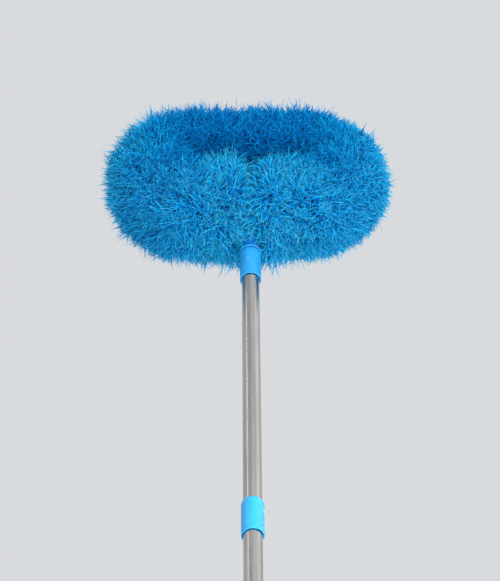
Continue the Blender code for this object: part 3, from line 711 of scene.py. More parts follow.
@dataclass(frozen=True)
class MouldedPlastic:
    """Satin moulded plastic: fine grain, a parting line, rubbed edges and light smudges."""

    slot: Slot
    name: str
    colour: Colour
    rubbed: Colour
    rough: Pair = (0.30, 0.42)
    grain: float = 2600.0
    wear_scale: float = 420.0
    deep_share: float = 0.86
    rub_share: float = 0.55
    scratch_share: float = 0.3
    rub_rough: float = 0.12
    parting_height: float = 1.6
    scratch_depth: float = -0.8

    def coat(self, effects: Effects) -> Coat:
        """Makes the finish.

        Args:
            effects: The shared node groups.

        Returns:
            The finish.
        """
        made, net = begin(self.name)
        place = net.place
        moulded = net.effect(effects.moulded, Place=place, Scale=self.grain)
        worn = net.effect(effects.handling, Place=place, Edge=net.edge, Scale=self.wear_scale)
        rub, scratch = worn["Rub"], worn["Scratch"]
        deep = tuple(self.deep_share * c for c in self.colour)
        base = net.mix(net.span(moulded["Drift"], 0.3, 0.7), deep, self.colour)
        marks = net.math("MAXIMUM", net.times(rub, self.rub_share), net.times(scratch, self.scratch_share))
        base = net.mix(marks, base, self.rubbed)
        smudge = net.span(worn["Smudge"], 0.3, 0.7, *self.rough)
        rough = net.plus(smudge, net.times(rub, self.rub_rough))
        height = net.plus(moulded["Grain"], net.times(moulded["Parting"], self.parting_height))
        height = net.plus(height, net.times(scratch, self.scratch_depth))
        net.close(Base_Color=base, Roughness=rough, Normal=net.bump(height, 0.35, 0.05 * MM))
        return Coat(self.slot, made)


@dataclass(frozen=True)
class KnitFabric:
    """Knitted backing: a stitch pattern on the piece's own map, darker in the gaps, with a soft sheen."""

    slot: Slot
    name: str
    thread: Colour
    # The gap colour is painted shade between the stitches; the fuzz noise blends towards it too.
    gap: Colour
    wales: float
    courses: float
    fuzz_scale: float = 3200.0
    fuzz_share: float = 0.3

    def coat(self, effects: Effects) -> Coat:
        """Makes the finish.

        Args:
            effects: The shared node groups.

        Returns:
            The finish.
        """
        made, net = begin(self.name)
        knit = net.effect(effects.knit, Place=net.spread(KNIT_MAP), Wales=self.wales, Courses=self.courses)
        fuzz = net.times(net.noise(net.place, self.fuzz_scale, 2.0, 0.6), self.fuzz_share)
        base = net.mix(net.span(knit["Stitch"], 0.05, 0.8), self.gap, self.thread)
        base = net.mix(fuzz, base, self.gap)
        normal = net.bump(net.plus(knit["Stitch"], fuzz), 0.7, 0.3 * MM)
        net.close(Base_Color=base, Roughness=0.85, Sheen_Weight=0.3, Normal=normal)
        return Coat(self.slot, made)


@dataclass(frozen=True)
class PileFibre:
    """Microfibre strands: dark at the root and pale at the tip, and each strand has its own shade.

    The strand's map holds the shade across and root to tip upwards, and the colour depends on it alone.
    """

    slot: Slot = Slot.PILE
    name: str = "microfibre_strands"
    # Dark roots are painted shade among the strands; pale tips are partly the fibre's colour, partly painted
    # light.
    places: tuple[float, ...] = (0.0, 0.3, 0.55, 0.78, 1.0)
    # The darker ramp: strands of darker tone and strands in painted shade take it.
    dull: tuple[Colour, ...] = (
        (0.002, 0.085, 0.400), (0.002, 0.150, 0.525), (0.003, 0.225, 0.650),
        (0.004, 0.285, 0.740), (0.010, 0.345, 0.830),
    )
    bright: tuple[Colour, ...] = (
        (0.001, 0.150, 0.760), (0.001, 0.330, 0.980), (0.002, 0.490, 1.000),
        (0.012, 0.640, 1.000), (0.180, 0.810, 0.960),
    )
    sheen: Colour = (0.01, 0.46, 1.0)

    def coat(self) -> Coat:
        """The finish: each shade's ramp from root to tip, blended by the strand's own shade."""
        made, net = begin(self.name)
        shade, rise, _ = net.parts(net.spread(STRAND_MAP))
        dull, bright = (net.ramp(rise, list(zip(self.places, stops))) for stops in (self.dull, self.bright))
        net.close(
            Base_Color=net.mix(shade, dull, bright), Roughness=0.6, Specular_IOR_Level=0.05,
            Sheen_Weight=0.5, Sheen_Roughness=0.5, Sheen_Tint=self.sheen,
        )
        return Coat(self.slot, made)


@dataclass(frozen=True)
class NapFelt:
    """The dense mat of strand roots under the pile: dark, with a felted grain."""

    slot: Slot = Slot.PILE
    name: str = "pile_root_mat"
    # The mat's dark colour is painted shade deep among the strands' roots.
    dark: Colour = (0.001, 0.095, 0.520)
    light: Colour = (0.001, 0.165, 0.680)
    felt_scale: float = 900.0
    patch_scale: float = 120.0
    felt_share: float = 0.6
    patch_share: float = 0.4

    def coat(self) -> Coat:
        """The finish: fine felt and broad patches blend dark into light."""
        made, net = begin(self.name)
        place = net.place
        felt = net.noise(place, self.felt_scale, 3.0, 0.65)
        patch = net.noise(place, self.patch_scale)
        tone = net.plus(net.times(felt, self.felt_share), net.times(patch, self.patch_share))
        base = net.mix(net.span(tone, 0.35, 0.65), self.dark, self.light)
        normal = net.bump(felt, 0.8, 0.8 * MM)
        net.close(Base_Color=base, Roughness=0.95, Specular_IOR_Level=0.1, Normal=normal)
        return Coat(self.slot, made)


class Finishes:
    """Every finish of the duster, made once."""

    def __init__(self) -> None:
        """Makes the materials."""
        steel, plastic, knit, share = BrushedSteel, MouldedPlastic, KnitFabric, Effects()
        tube = steel(Slot.STEEL, "brushed_tube_steel", (0.47, 0.455, 0.43), (0.35, 0.338, 0.32))
        drawn = steel(Slot.STEEL, "drawn_ferrule_steel", (0.62, 0.61, 0.59), (0.50, 0.49, 0.47))
        wire = steel(Slot.WIRE, "spring_wire_steel", (0.46, 0.46, 0.48), (0.36, 0.36, 0.38), (0.3, 0.42))
        self.steel, self.ferrule, self.wire = (finish.coat(share) for finish in (tube, drawn, wire))
        blue = plastic(Slot.BLUE, "sky_blue_plastic", (0.022, 0.392, 0.865), (0.12, 0.53, 0.92))
        gate = plastic(Slot.BLUE, "trimmed_gate_plastic", (0.36, 0.60, 0.93), (0.50, 0.70, 0.95))
        # The hub's blue is darker than the sleeves': painted shade on its stem under the pile.
        hub = plastic(Slot.HUB, "deep_blue_plastic", (0.007, 0.200, 0.620), (0.02, 0.46, 0.90))
        self.blue, self.gate, self.hub = (finish.coat(share) for finish in (blue, gate, hub))
        seal = plastic(Slot.RUBBER, "seal_rubber_black", (0.028, 0.028, 0.030), (0.09,) * 3, (0.62, 0.78))
        sheath = plastic(
            Slot.SHEATH, "sheath_black_plastic", (0.036, 0.040, 0.055), (0.12, 0.12, 0.14), (0.45, 0.6)
        )
        self.rubber, self.sheath = seal.coat(share), sheath.coat(share)
        cover = knit(Slot.FABRIC, "knitted_backing", (0.016, 0.180, 0.520), (0.003, 0.040, 0.170), 48, 400)
        hem = knit(Slot.FABRIC, "ribbed_cuff", (0.018, 0.200, 0.560), (0.004, 0.050, 0.200), 36, 16)
        self.backing, self.cuff = cover.coat(share), hem.coat(share)
        self.nap, self.pile = NapFelt().coat(), PileFibre().coat()


def placed(name: str, data: bpy.types.ID) -> bpy.types.Object:
    """Puts data in the scene as a new object at the origin.

    Args:
        name: The object's name.
        data: Its mesh, lamp or camera.

    Returns:
        The object.
    """
    made = bpy.data.objects.new(name, data)
    bpy.context.scene.collection.objects.link(made)
    return made


def mount(name: str, shape: Shape, body: Body, coat: Coat, *nodes: str) -> None:
    """Puts a surface in the scene as a finished piece.

    Args:
        name: The piece's name.
        shape: Its surface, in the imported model's frame.
        body: The body that carries it.
        coat: Its finish.
        nodes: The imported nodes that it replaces.
    """
    mesh = shape.mesh(name)
    mesh.materials.append(coat.material)
    piece = placed(name, mesh)
    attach(piece, body.value)
    if nodes:
        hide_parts(*nodes)
    LOG.info("%s rides on %s with %d faces", name, body.value, len(mesh.polygons))


@dataclass(frozen=True)
class Thread:
    """The coarse right-hand screw thread of each joint, by its height over the sleeve's shoulder.

    Its hollow shank ends below at end and meets its flange above at seat.
    """

    pitch: float = 4.0
    turns: float = 2.5
    first: float = -12.2
    root: float = 7.3
    crest: float = 8.4
    crest_width: float = 1.0
    crest_round: float = 0.25
    foot_width: float = 2.3
    low_share: float = 0.25
    run_out: float = 0.4
    ridge_steps: int = 200
    sunk: float = 0.5
    bore: float = 7.9
    bore_margin: float = 0.01
    clearance: float = 0.6
    groove_first: float = -20.2
    core: float = 4.6
    end: float = -14.2
    seat: float = 1.8

    def shank(self, floor: float) -> list[Corner]:
        """The shank's corners, from the floor of its blind core down and up to its flange."""
        inside = [(0, floor, 0), (self.core, floor, 0.5), (self.core, self.end, 0.4)]
        return [*inside, (self.root, self.end, 0.8), (self.root, self.seat, 0.3)]

    def ridge(self, shoulder: float) -> Shape:
        """The screw's ridge: a rounded trapezoid carried along a helix, z = first + pitch·turn.

        Its height runs out at both ends by a smooth step, until it lies under the root.

        Args:
            shoulder: The shoulder's height, in metres.

        Returns:
            The ridge's surface.
        """
        base, foot, crest = self.root - self.sunk, self.foot_width / 2, self.crest_width / 2
        flank = [(base, -foot, 0), (self.root, -foot, 0), (self.crest, -crest, self.crest_round)]
        corners = [*flank, *((reach, -along, rounding) for reach, along, rounding in flank[::-1])]
        section = Profile.rounded(corners, steps=3)
        turn = np.linspace(self.turns, 0, self.ridge_steps)[:, None] * FULL_TURN
        from_end = np.minimum(turn, self.turns * FULL_TURN - turn)
        height = self.low_share + (1 - self.low_share) * smooth_step(from_end / self.run_out)
        reach = base * MM + (section.reach - base * MM) * height
        climb = shoulder + (self.first + self.pitch * turn / FULL_TURN) * MM
        z = climb + section.along * np.ones_like(turn)
        grid = np.stack([reach * np.cos(turn), reach * np.sin(turn), z], -1)
        return skin(grid, np.broadcast_to(section.edge, reach.shape), False)

    def groove(self, shoulder: float) -> Carve:
        """The matching groove in a sleeve's screw bore.

        The cut is full within half the crest's width plus the clearance of the helix, and fades to
        nothing at half the foot's width plus the clearance.

        Args:
            shoulder: The shoulder's height, in metres.

        Returns:
            What cuts it.
        """

        def carve(wall: Wall) -> Wall:
            """Moves the bore outwards along the helix.

            Args:
                wall: The plain wall.

            Returns:
                The grooved wall.
            """
            rise = (wall.along - shoulder) / MM - self.groove_first - self.pitch * wall.angle / FULL_TURN
            off = np.abs(rise - self.pitch * np.clip(np.round(rise / self.pitch), 0, None))
            full, none = self.crest_width / 2 + self.clearance, self.foot_width / 2 + self.clearance
            depth = np.interp(off, [full, none], [self.crest + self.clearance - self.bore, 0]) * MM
            on_bore = np.abs(wall.reach - self.bore * MM) < self.bore_margin * MM
            return wall.moved(on_bore, wall.reach + depth)

        return carve


@dataclass(frozen=True)
class Sleeve:
    """A moulded sleeve on a tube's top end: a seat for the tube, a screw bore and a mouth.

    Args:
        shoulder: Height of the shoulder that the washer lies on, in metres.
        gate: Angle of the small moulding gate's mark, in degrees from +x.
    """

    shoulder: float
    gate: float
    outer: float = 13.3
    lip: float = 12.1
    mouth: float = 11.4
    seat: float = 11.3
    foot: float = 11.8
    top: float = 8.0
    round_start: float = 3.0
    worn_depth: float = 1.2
    bottom: float = -45.0
    countersink: float = 0.65
    seat_end: float = -17.0
    groove_gap: float = 0.5
    gate_height: float = -14.0
    gate_radius: float = 1.2
    gate_dome: float = 0.22
    gate_rim: float = -0.08
    gate_root: float = -0.5

    def shape(self, thread: Thread) -> Shape:
        """The sleeve's ring: a countersunk foot, and a quarter ellipse from its wall up to its lip.

        Args:
            thread: The thread that its bore is cut for.

        Returns:
            Its surface.
        """
        wide, rise = self.outer - self.lip, self.top - self.round_start
        turn = np.radians(np.linspace(0, 90, 9))
        dome = [(self.lip + wide * math.cos(a), self.round_start + rise * math.sin(a), 0.0) for a in turn]
        section = Profile.rounded([
            (self.seat, self.bottom + self.countersink, 0.2), (self.foot, self.bottom, 0.2),
            (self.outer, self.bottom, 1.2), *dome, (self.mouth, self.top, 0.25), (self.mouth, 0, 0.2),
            (thread.bore, 0, 0.2), (thread.bore, self.seat_end, 0.2), (self.seat, self.seat_end, 0.3),
        ])
        worn = (section.reach > self.lip * MM) & (section.along > (self.top - self.worn_depth) * MM)
        section = replace(section, edge=worn * 1.0).raised(self.shoulder)
        section = section.dense(self.groove_gap * MM, self.shoulder + self.seat_end * MM, self.shoulder)
        return carried(section, Line(), 96, thread.groove(self.shoulder))

    def gate_mark(self) -> Shape:
        """The trimmed gate: a low dome whose height is dome·(1 - d²) + rim at d of its radius."""
        turn, wall = math.radians(self.gate), self.outer * MM
        out = (math.cos(turn), math.sin(turn), 0.0)
        origin = (out[0] * wall, out[1] * wall, self.shoulder + self.gate_height * MM)
        share = np.linspace(1, 0, 7)
        dome = [(self.gate_radius * d, self.gate_dome * (1 - d * d) + self.gate_rim, 0.0) for d in share]
        corners = [(0, self.gate_root, 0), (self.gate_radius, self.gate_root, 0), *dome]
        return carried(Profile.rounded(corners, closed=False), Line(origin, out, Z_WAY), 20)


@dataclass(frozen=True)
class Section:
    """One length of the pole: its tube, its sleeve and, above the lowest, its screw plug.

    Args:
        name: The section's name in its pieces' and nodes' names.
        body: The body that carries it.
        tube: The tube's bottom and top heights, in metres.
        sleeve: The sleeve at its top.
        plug_shoulder: The height of the shoulder that its plug screws down on, or None.
    """

    name: str
    body: Body
    tube: Pair
    sleeve: Sleeve
    plug_shoulder: float | None = None
    radius: float = 11.0
    bore: float = 10.6
    ring_gap: float = 30.0
    flange_top: float = 3.8
    plug: float = 10.3
    plug_floor: float = 24.8
    plug_top: float = 28.8

    def tube_shape(self) -> Shape:
        """The tube: a thin ring with its rims broken."""
        low, high = (v / MM for v in self.tube)
        corners = [(self.bore, low, 0.1), (self.radius, low, 0.15)]
        corners += [(self.radius, high, 0.15), (self.bore, high, 0.1)]
        return carried(Profile.rounded(corners, steps=2).dense(self.ring_gap * MM), Line(), 96)

    def plug_shape(self, thread: Thread) -> Shape:
        """The plug in the tube's lower end: screw, flange, body and a blind core.

        Args:
            thread: The screw's thread.

        Returns:
            Its surface.
        """
        section = Profile.rounded([
            *thread.shank(self.plug_floor), (self.radius, thread.seat, 0.3),
            (self.radius, self.flange_top, 0.3), (self.plug, self.flange_top, 0.15),
            (self.plug, self.plug_top, 1.0), (0, self.plug_top, 0),
        ], closed=False)
        plug = carried(section.raised(self.plug_shoulder), Line(), 72)
        return plug + thread.ridge(self.plug_shoulder)

    def build(self, finishes: Finishes, thread: Thread) -> None:
        """Builds and dresses the section's pieces.

        Args:
            finishes: The finishes.
            thread: The joints' thread.
        """
        name, body = self.name, self.body
        mount(f"{name}_steel_tube", self.tube_shape(), body, finishes.steel, f"{name}_tube")
        mount(f"{name}_screw_sleeve", self.sleeve.shape(thread), body, finishes.blue, f"{name}_sleeve")
        mount(f"{name}_gate_mark", self.sleeve.gate_mark(), body, finishes.gate)
        if self.plug_shoulder is not None:
            mount(f"{name}_screw_plug", self.plug_shape(thread), body, finishes.blue, f"{name}_plug")


@dataclass(frozen=True)
class Seal:
    """A rubber washer on a sleeve's shoulder.

    Args:
        name: The name of the joint's section in the piece's and the node's names.
        body: The body that carries it.
        shoulder: The shoulder's height, in metres.
    """

    name: str
    body: Body
    shoulder: float
    inner: float = 9.0
    outer: float = 11.0
    low: float = 0.3
    high: float = 1.5
    rim: float = 0.4

    def build(self, finishes: Finishes) -> None:
        """Builds and dresses the washer, a flat ring with full-round rims.

        Args:
            finishes: The finishes.
        """
        inner, outer, low, high = self.inner, self.outer, self.low, self.high
        spots = ((inner, low), (outer, low), (outer, high), (inner, high))
        section = Profile.rounded([(*spot, self.rim) for spot in spots]).raised(self.shoulder)
        ring = carried(section, Line(), 72)
        mount(f"{self.name}_seal_ring", ring, self.body, finishes.rubber, f"{self.name}_washer")


@dataclass(frozen=True)
class HandGrip:
    """The moulded hand grip and the end cap with its hanging tab, by their height over the grip's middle."""

    half_length: float = 65.0
    seat: float = 11.3
    neck: float = 12.5
    neck_start: float = 53.0
    body_radius: float = 14.2
    foot_radius: float = 15.2
    foot_top: float = -60.0
    body_start: float = -55.0
    rings: tuple[float, ...] = (-36.0, -22.0, -8.0, 6.0, 20.0, 34.0)
    ring_half: float = 2.0
    ring_depth: float = 0.9
    ring_fade: Fade = Fade(2.4, 4.0)
    flutes: int = 24
    flute_depth: float = 0.35
    flute_floor: float = 13.9
    flute_span: Pair = (-48.0, 46.0)
    flute_fade: Fade = Fade(0.0, 3.0)
    flute_gap: float = 0.9
    flange: Pair = (-69.3, -65.3)
    plug: Pair = (10.3, -50.3)
    tab_half: float = 9.0
    tab_middle: float = -82.3
    tab_thick: float = 5.0
    tab_overlap: float = 1.0
    tab_unit: float = 4.5
    hole: float = 4.5

    def flute(self, wall: Wall) -> Wall:
        """Presses shallow lengthwise flutes between the rings: depth·sin⁶ of half the flute count's angle.

        Args:
            wall: The round wall.

        Returns:
            The fluted wall.
        """
        height = wall.along / MM
        low, high = self.flute_span
        fade = self.flute_fade.at(height - low) * self.flute_fade.at(high - height)
        for ring in self.rings:
            fade = fade * self.ring_fade.at(np.abs(height - ring))
        depth = self.flute_depth * MM * fade * np.sin(wall.angle * self.flutes / 2) ** 6
        outside = wall.reach > self.flute_floor * MM
        return wall.moved(outside, wall.reach - depth)

    def grip_shape(self) -> Shape:
        """The grip: a ring with a tapered neck, a flared foot, V rings and flutes.

        Returns:
            Its surface.
        """
        wall, half, groove = self.body_radius, self.half_length, self.ring_half
        corners = [(self.seat, -half, 0.3), (self.foot_radius, -half, 0.9)]
        corners += [(self.foot_radius, self.foot_top, 1.2), (wall, self.body_start, 2.0)]
        for z in self.rings:
            corners += [(wall, z - groove, 0.5), (wall - self.ring_depth, z, 0.6), (wall, z + groove, 0.5)]
        corners += [(wall, self.neck_start, 5.0), (self.neck, half, 0.6), (self.seat, half, 0.3)]
        low, high = self.flute_span
        section = Profile.rounded(corners).dense(self.flute_gap * MM, (low - 1) * MM, (high + 1) * MM)
        keep = (section.reach > (self.seat + 0.1) * MM) | (np.abs(section.along) > (half - 1) * MM)
        section = Profile(section.reach[keep], section.along[keep], section.edge[keep], True)
        return carried(section, Line(), 144, self.flute)

    def tab(self, wall: Wall) -> Wall:
        """Widens a ring of tab_unit to the tab round its hole.

        At each angle the tab reaches from the hole to the nearer of its half circle, its straight
        sides and its roof in the flange.

        Args:
            wall: The ring, whose reach goes from 0 to tab_unit.

        Returns:
            The tab's wall.
        """
        up = np.maximum(np.cos(wall.angle), 1e-6)
        side = np.maximum(np.abs(np.sin(wall.angle)), 1e-6)
        roof = (self.flange[0] + self.tab_overlap - self.tab_middle) / up
        wide = np.where(np.cos(wall.angle) > 0, np.minimum(self.tab_half / side, roof), self.tab_half)
        share = wall.reach / (self.tab_unit * MM)
        return replace(wall, reach=(self.hole + (wide - self.hole) * share) * MM)

    def cap_shape(self) -> Shape:
        """The cap: a flange with a plug above, and a flat tab with a round hole below.

        Returns:
            Its surface.
        """
        low, high = self.flange
        radius, top = self.plug
        flange = Profile.rounded([
            (0, low, 0), (self.foot_radius, low, 1.0), (self.foot_radius, high, 0.4),
            (radius, high, 0.2), (radius, top, 1.0), (0, top, 0),
        ], closed=False)
        half, wide = self.tab_thick / 2, self.tab_unit
        tab = Profile.rounded([(0, -half, 0.6), (wide, -half, 0.8), (wide, half, 0.8), (0, half, 0.6)])
        axis = Line((0, 0, self.tab_middle * MM), Y_WAY, Z_WAY)
        return carried(flange, Line(), 96) + carried(tab, axis, 96, self.tab)

    def build(self, finishes: Finishes) -> None:
        """Builds and dresses the grip and the cap."""
        mount("hand_grip_moulding", self.grip_shape(), Body.HANDLE, finishes.blue, "grip")
        mount("hanging_cap", self.cap_shape(), Body.HANDLE, finishes.blue, "end_cap")


@dataclass(frozen=True)
class Ferrule:
    """A drawn steel cup on the sheath's end, by its distance from the pole's axis, with a wire hole."""

    outer: float = 9.0
    inner: float = 7.3
    hole: float = 2.3
    start: float = 11.3
    hole_end: float = 15.3
    floor: float = 19.3
    end: float = 33.3

    def shape(self, axis: Line) -> Shape:
        """The cup's surface along its axis.

        Args:
            axis: The line from the pole's axis out along the socket.

        Returns:
            The surface.
        """
        section = Profile.rounded([
            (0, self.start, 0), (self.outer, self.start, 0.6), (self.outer, self.end, 0.3),
            (self.inner, self.end, 0.3), (self.inner, self.floor, 0.5), (self.hole, self.floor, 0.3),
            (self.hole, self.hole_end, 0.2), (0, self.hole_end, 0),
        ], closed=False)
        return carried(section, axis, 64)


@dataclass(frozen=True)
class PanScrew:
    """A pan-head screw, by its distance towards the rear: its head is a low dome with a cross recess."""

    tip: float = 3.4
    cone: float = 4.2
    tip_radius: float = 1.2
    shank: float = 1.5
    head_start: float = 11.5
    head: float = 2.8
    rim: float = 12.5
    dome: float = 13.1
    dome_radius: float = 2.0
    top: float = 13.3
    recess_start: float = 12.6
    recess_depth: float = 0.9
    recess_width: Fade = Fade(0.55, 0.30)
    recess_length: Fade = Fade(1.9, 1.5)
    gap: float = 0.2

    def recess(self, wall: Wall) -> Wall:
        """Sinks a cross: deep where a point is near either of two crossing lines.

        Args:
            wall: The plain head.

        Returns:
            The head with its cross.
        """
        x = np.abs(wall.reach * np.cos(wall.angle)) / MM
        y = np.abs(wall.reach * np.sin(wall.angle)) / MM
        inside = self.recess_width.at(np.minimum(x, y)) * self.recess_length.at(np.maximum(x, y))
        sunk = wall.along - self.recess_depth * MM * inside
        return replace(wall, along=np.where(wall.along > self.recess_start * MM, sunk, wall.along))

    def shape(self, axis: Line) -> Shape:
        """The screw's surface along its axis.

        Args:
            axis: The line from the socket's middle to the rear.

        Returns:
            The surface.
        """
        section = Profile.rounded([
            (0, self.tip, 0), (self.tip_radius, self.tip, 0.3), (self.shank, self.cone, 0.2),
            (self.shank, self.head_start, 0.1), (self.head, self.head_start, 0.15),
            (self.head, self.rim, 0.5), (self.dome_radius, self.dome, 0.6), (0, self.top, 0),
        ], closed=False)
        return carried(section.dense(self.gap * MM, self.recess_start * MM), axis, 64, self.recess)


@dataclass(frozen=True)
class Hub:
    """The moulded T at the head's foot: screw, flange, stem and a barrel with two sockets.

    Shoulder and barrel_height are metres up the pole; the other heights are over the shoulder.
    """

    shoulder: float = 1.3271
    barrel_height: float = 1.4311
    core_floor: float = 8.0
    collar: float = 11.0
    collar_top: float = 9.5
    flange: float = 14.0
    flange_top: float = 12.5
    stem: float = 9.0
    stem_overlap: float = 2.0
    barrel: float = 12.0
    barrel_half: float = 35.0
    web_half: float = 11.0
    socket: float = 9.3
    screw_place: float = 15.3
    screw_seat: float = 11.2
    screw_seat_half: float = 3.2

    def across(self, way: int = 1) -> Line:
        """The barrel's axis, towards +x for 1 and -x for -1; angle 0 lies to the rear."""
        return Line((0, 0, self.barrel_height), (way, 0, 0), Y_WAY)

    def seats(self, wall: Wall) -> Wall:
        """Cuts a flat seat for each ferrule screw at angle 0: reach is held to seat / cos angle.

        Args:
            wall: The round barrel.

        Returns:
            The barrel with its seats.
        """
        facing, least, margin = np.cos(wall.angle), 0.8, 0.5
        near = np.abs(np.abs(wall.along) - self.screw_place * MM) < self.screw_seat_half * MM
        on_wall = (wall.reach > (self.barrel - margin) * MM) & (facing > least)
        flat = np.minimum(wall.reach, self.screw_seat * MM / np.maximum(facing, 0.1))
        return wall.moved(near & on_wall, flat)

    def shape(self, thread: Thread) -> Shape:
        """The T: a turned lower part, a barrel across its top and the screw's ridge.

        Args:
            thread: The screw's thread.

        Returns:
            Its surface.
        """
        stem_top = (self.barrel_height - self.shoulder) / MM + self.stem_overlap
        section = Profile.rounded([
            *thread.shank(self.core_floor), (self.collar, thread.seat, 0.4),
            (self.collar, self.collar_top, 0.3), (self.flange, self.collar_top, 0.8),
            (self.flange, self.flange_top, 0.8), (self.stem, self.flange_top, 1.0),
            (self.stem, stem_top, 0), (0, stem_top, 0),
        ], closed=False).raised(self.shoulder)
        # The whole flange counts as a rubbed edge, so it comes out paler than the stem: partly wear, partly
        # painted light on its rim.
        lit_flange = section.reach > (self.collar + 0.5) * MM
        section = replace(section, edge=np.maximum(section.edge, lit_flange))
        web, half, wall, socket = self.web_half, self.barrel_half, self.barrel, self.socket
        barrel = Profile.rounded([
            (0, -web, 0), (socket, -web, 0.3), (socket, -half, 0.3), (wall, -half, 0.6),
            (wall, half, 0.6), (socket, half, 0.3), (socket, web, 0.3), (0, web, 0),
        ], closed=False)
        turned = carried(section, Line(), 96)
        crossing = carried(barrel.dense(0.8 * MM), self.across(), 96, self.seats)
        return turned + crossing + thread.ridge(self.shoulder)

    def build(self, finishes: Finishes, thread: Thread) -> None:
        """Builds and dresses the hub, its ferrules and their screws.

        Args:
            finishes: The finishes.
            thread: The joints' thread.
        """
        mount("hub_moulding", self.shape(thread), Body.HEAD, finishes.hub, "hub")
        for side, way in SIDES:
            cup = Ferrule().shape(self.across(way))
            mount(f"loop_ferrule_{side}", cup, Body.HEAD, finishes.ferrule, f"ferrule_{side}")
            screw = PanScrew().shape(Line((way * self.screw_place * MM, 0, self.barrel_height), Y_WAY, Z_WAY))
            mount(f"pan_screw_{side}", screw, Body.HEAD, finishes.wire, f"ferrule_screw_{side}")


@dataclass(frozen=True)
class LoopCore:
    """What lies inside the pile: the wire, its sheath, the knitted backing and the two cuffs.

    The wire has its radius and its start on the loop; the sheath and the backing have their inner
    and outer radius and their start.
    """

    path: LoopPath
    hub: Hub
    wire: Pair = (2.0, 15.6)
    sheath: Triple = (2.3, 7.0, 19.6)
    backing: Triple = (7.3, 12.0, 35.3)
    ring_gap: float = 3.0
    knit_ribs: int = 48
    knit_rib: float = 0.2
    cuff: Pair = (12.3, 14.3)
    cuff_span: Pair = (21.0, 41.0)
    cuff_ribs: int = 36
    cuff_rib: float = 0.3
    cuff_waist: float = 0.4

    def wire_shape(self) -> Shape:
        """The wire: a round bar along the loop, with its ends in the ferrules."""
        radius, start = self.wire
        end = self.path.length / MM - start
        corners = [(0, start, 0), (radius, start, 0.3), (radius, end, 0.3), (0, end, 0)]
        return carried(Profile.rounded(corners, closed=False).dense(self.ring_gap * MM), self.path, 20)

    def tube_shape(self, sizes: Triple, segments: int, carve: Carve | None = None) -> Shape:
        """A tube along the loop.

        Args:
            sizes: Its inner and outer radius and its start on the loop.
            segments: Steps in the turn.
            carve: Moves its wall's points.

        Returns:
            Its surface.
        """
        inner, outer, start = sizes
        end = self.path.length / MM - start
        corners = [(inner, start, 0.3), (outer, start, 0.5), (outer, end, 0.5), (inner, end, 0.3)]
        section = Profile.rounded(corners, steps=2).dense(self.ring_gap * MM)
        return carried(section, self.path, segments, carve)

    def knit_ridges(self, wall: Wall) -> Wall:
        """Sinks the backing's outer wall between its ribs: reach + rib·(cos(ribs·angle) - 1).

        Args:
            wall: The plain wall.

        Returns:
            The ribbed wall.
        """
        ribs = self.knit_rib * MM * (np.cos(wall.angle * self.knit_ribs) - 1)
        outside = wall.reach > (self.backing[1] - 0.1) * MM
        return wall.moved(outside, wall.reach + ribs)

    def cuff_ridges(self, wall: Wall) -> Wall:
        """Sinks a cuff's outer wall between its ribs, and to a slight waist halfway along.

        Args:
            wall: The plain wall.

        Returns:
            The ribbed wall.
        """
        low, high = self.cuff_span
        waist = self.cuff_waist * np.sin(np.pi * (wall.along / MM - low) / (high - low))
        cut = (self.cuff_rib * (0.5 - 0.5 * np.cos(wall.angle * self.cuff_ribs)) + waist) * MM
        outside = wall.reach > (self.cuff[0] + 0.6) * MM
        return wall.moved(outside, wall.reach - cut)

    def cuff_shape(self, way: int) -> Shape:
        """A cuff: a ring with ribs and a slight waist on its outer wall.

        Args:
            way: 1 for +x and -1 for -x.

        Returns:
            Its surface.
        """
        (inner, outer), (low, high) = self.cuff, self.cuff_span
        corners = [(inner, low, 0.5), (outer, low, 0.8), (outer, high, 0.8), (inner, high, 0.5)]
        section = Profile.rounded(corners).dense(MM)
        return carried(section, self.hub.across(way), self.cuff_ribs * 6, self.cuff_ridges)

    def build(self, finishes: Finishes) -> None:
        """Builds and dresses the core's pieces.

        Args:
            finishes: The finishes.
        """
        backing = self.tube_shape(self.backing, self.knit_ribs * 4, self.knit_ridges).knitted()
        mount("bendable_wire", self.wire_shape(), Body.HEAD, finishes.wire, "loop_wire")
        mount("wire_sheath", self.tube_shape(self.sheath, 32), Body.HEAD, finishes.sheath, "loop_sheath")
        mount("knitted_tube", backing, Body.HEAD, finishes.backing, "cover_backing")
        for side, way in SIDES:
            cuff = self.cuff_shape(way).knitted()
            mount(f"ribbed_hem_{side}", cuff, Body.HEAD, finishes.cuff, f"cuff_{side}")


class Waves:
    """A smooth random field over the loop: cosines with whole numbers of waves both ways."""

    def __init__(self, rng: np.random.Generator, along: int, around: int, terms: int = 28) -> None:
        """Draws the waves.

        Args:
            rng: The source of their numbers and phases.
            along: The most waves along the loop.
            around: The most waves round it.
            terms: How many are summed.
        """
        self.along = rng.integers(-along, along + 1, terms)
        self.around = rng.integers(0, around + 1, terms)
        self.phase = rng.uniform(0, FULL_TURN, terms)

    def at(self, turn: Array, angle: Array) -> Array:
        """The field, about 1 in size: √(2/terms)·Σ cos(2π·k·turn + n·angle + phase)."""
        waves = turn[..., None] * FULL_TURN * self.along + angle[..., None] * self.around + self.phase
        return np.cos(waves).sum(-1) * math.sqrt(2 / len(self.phase))


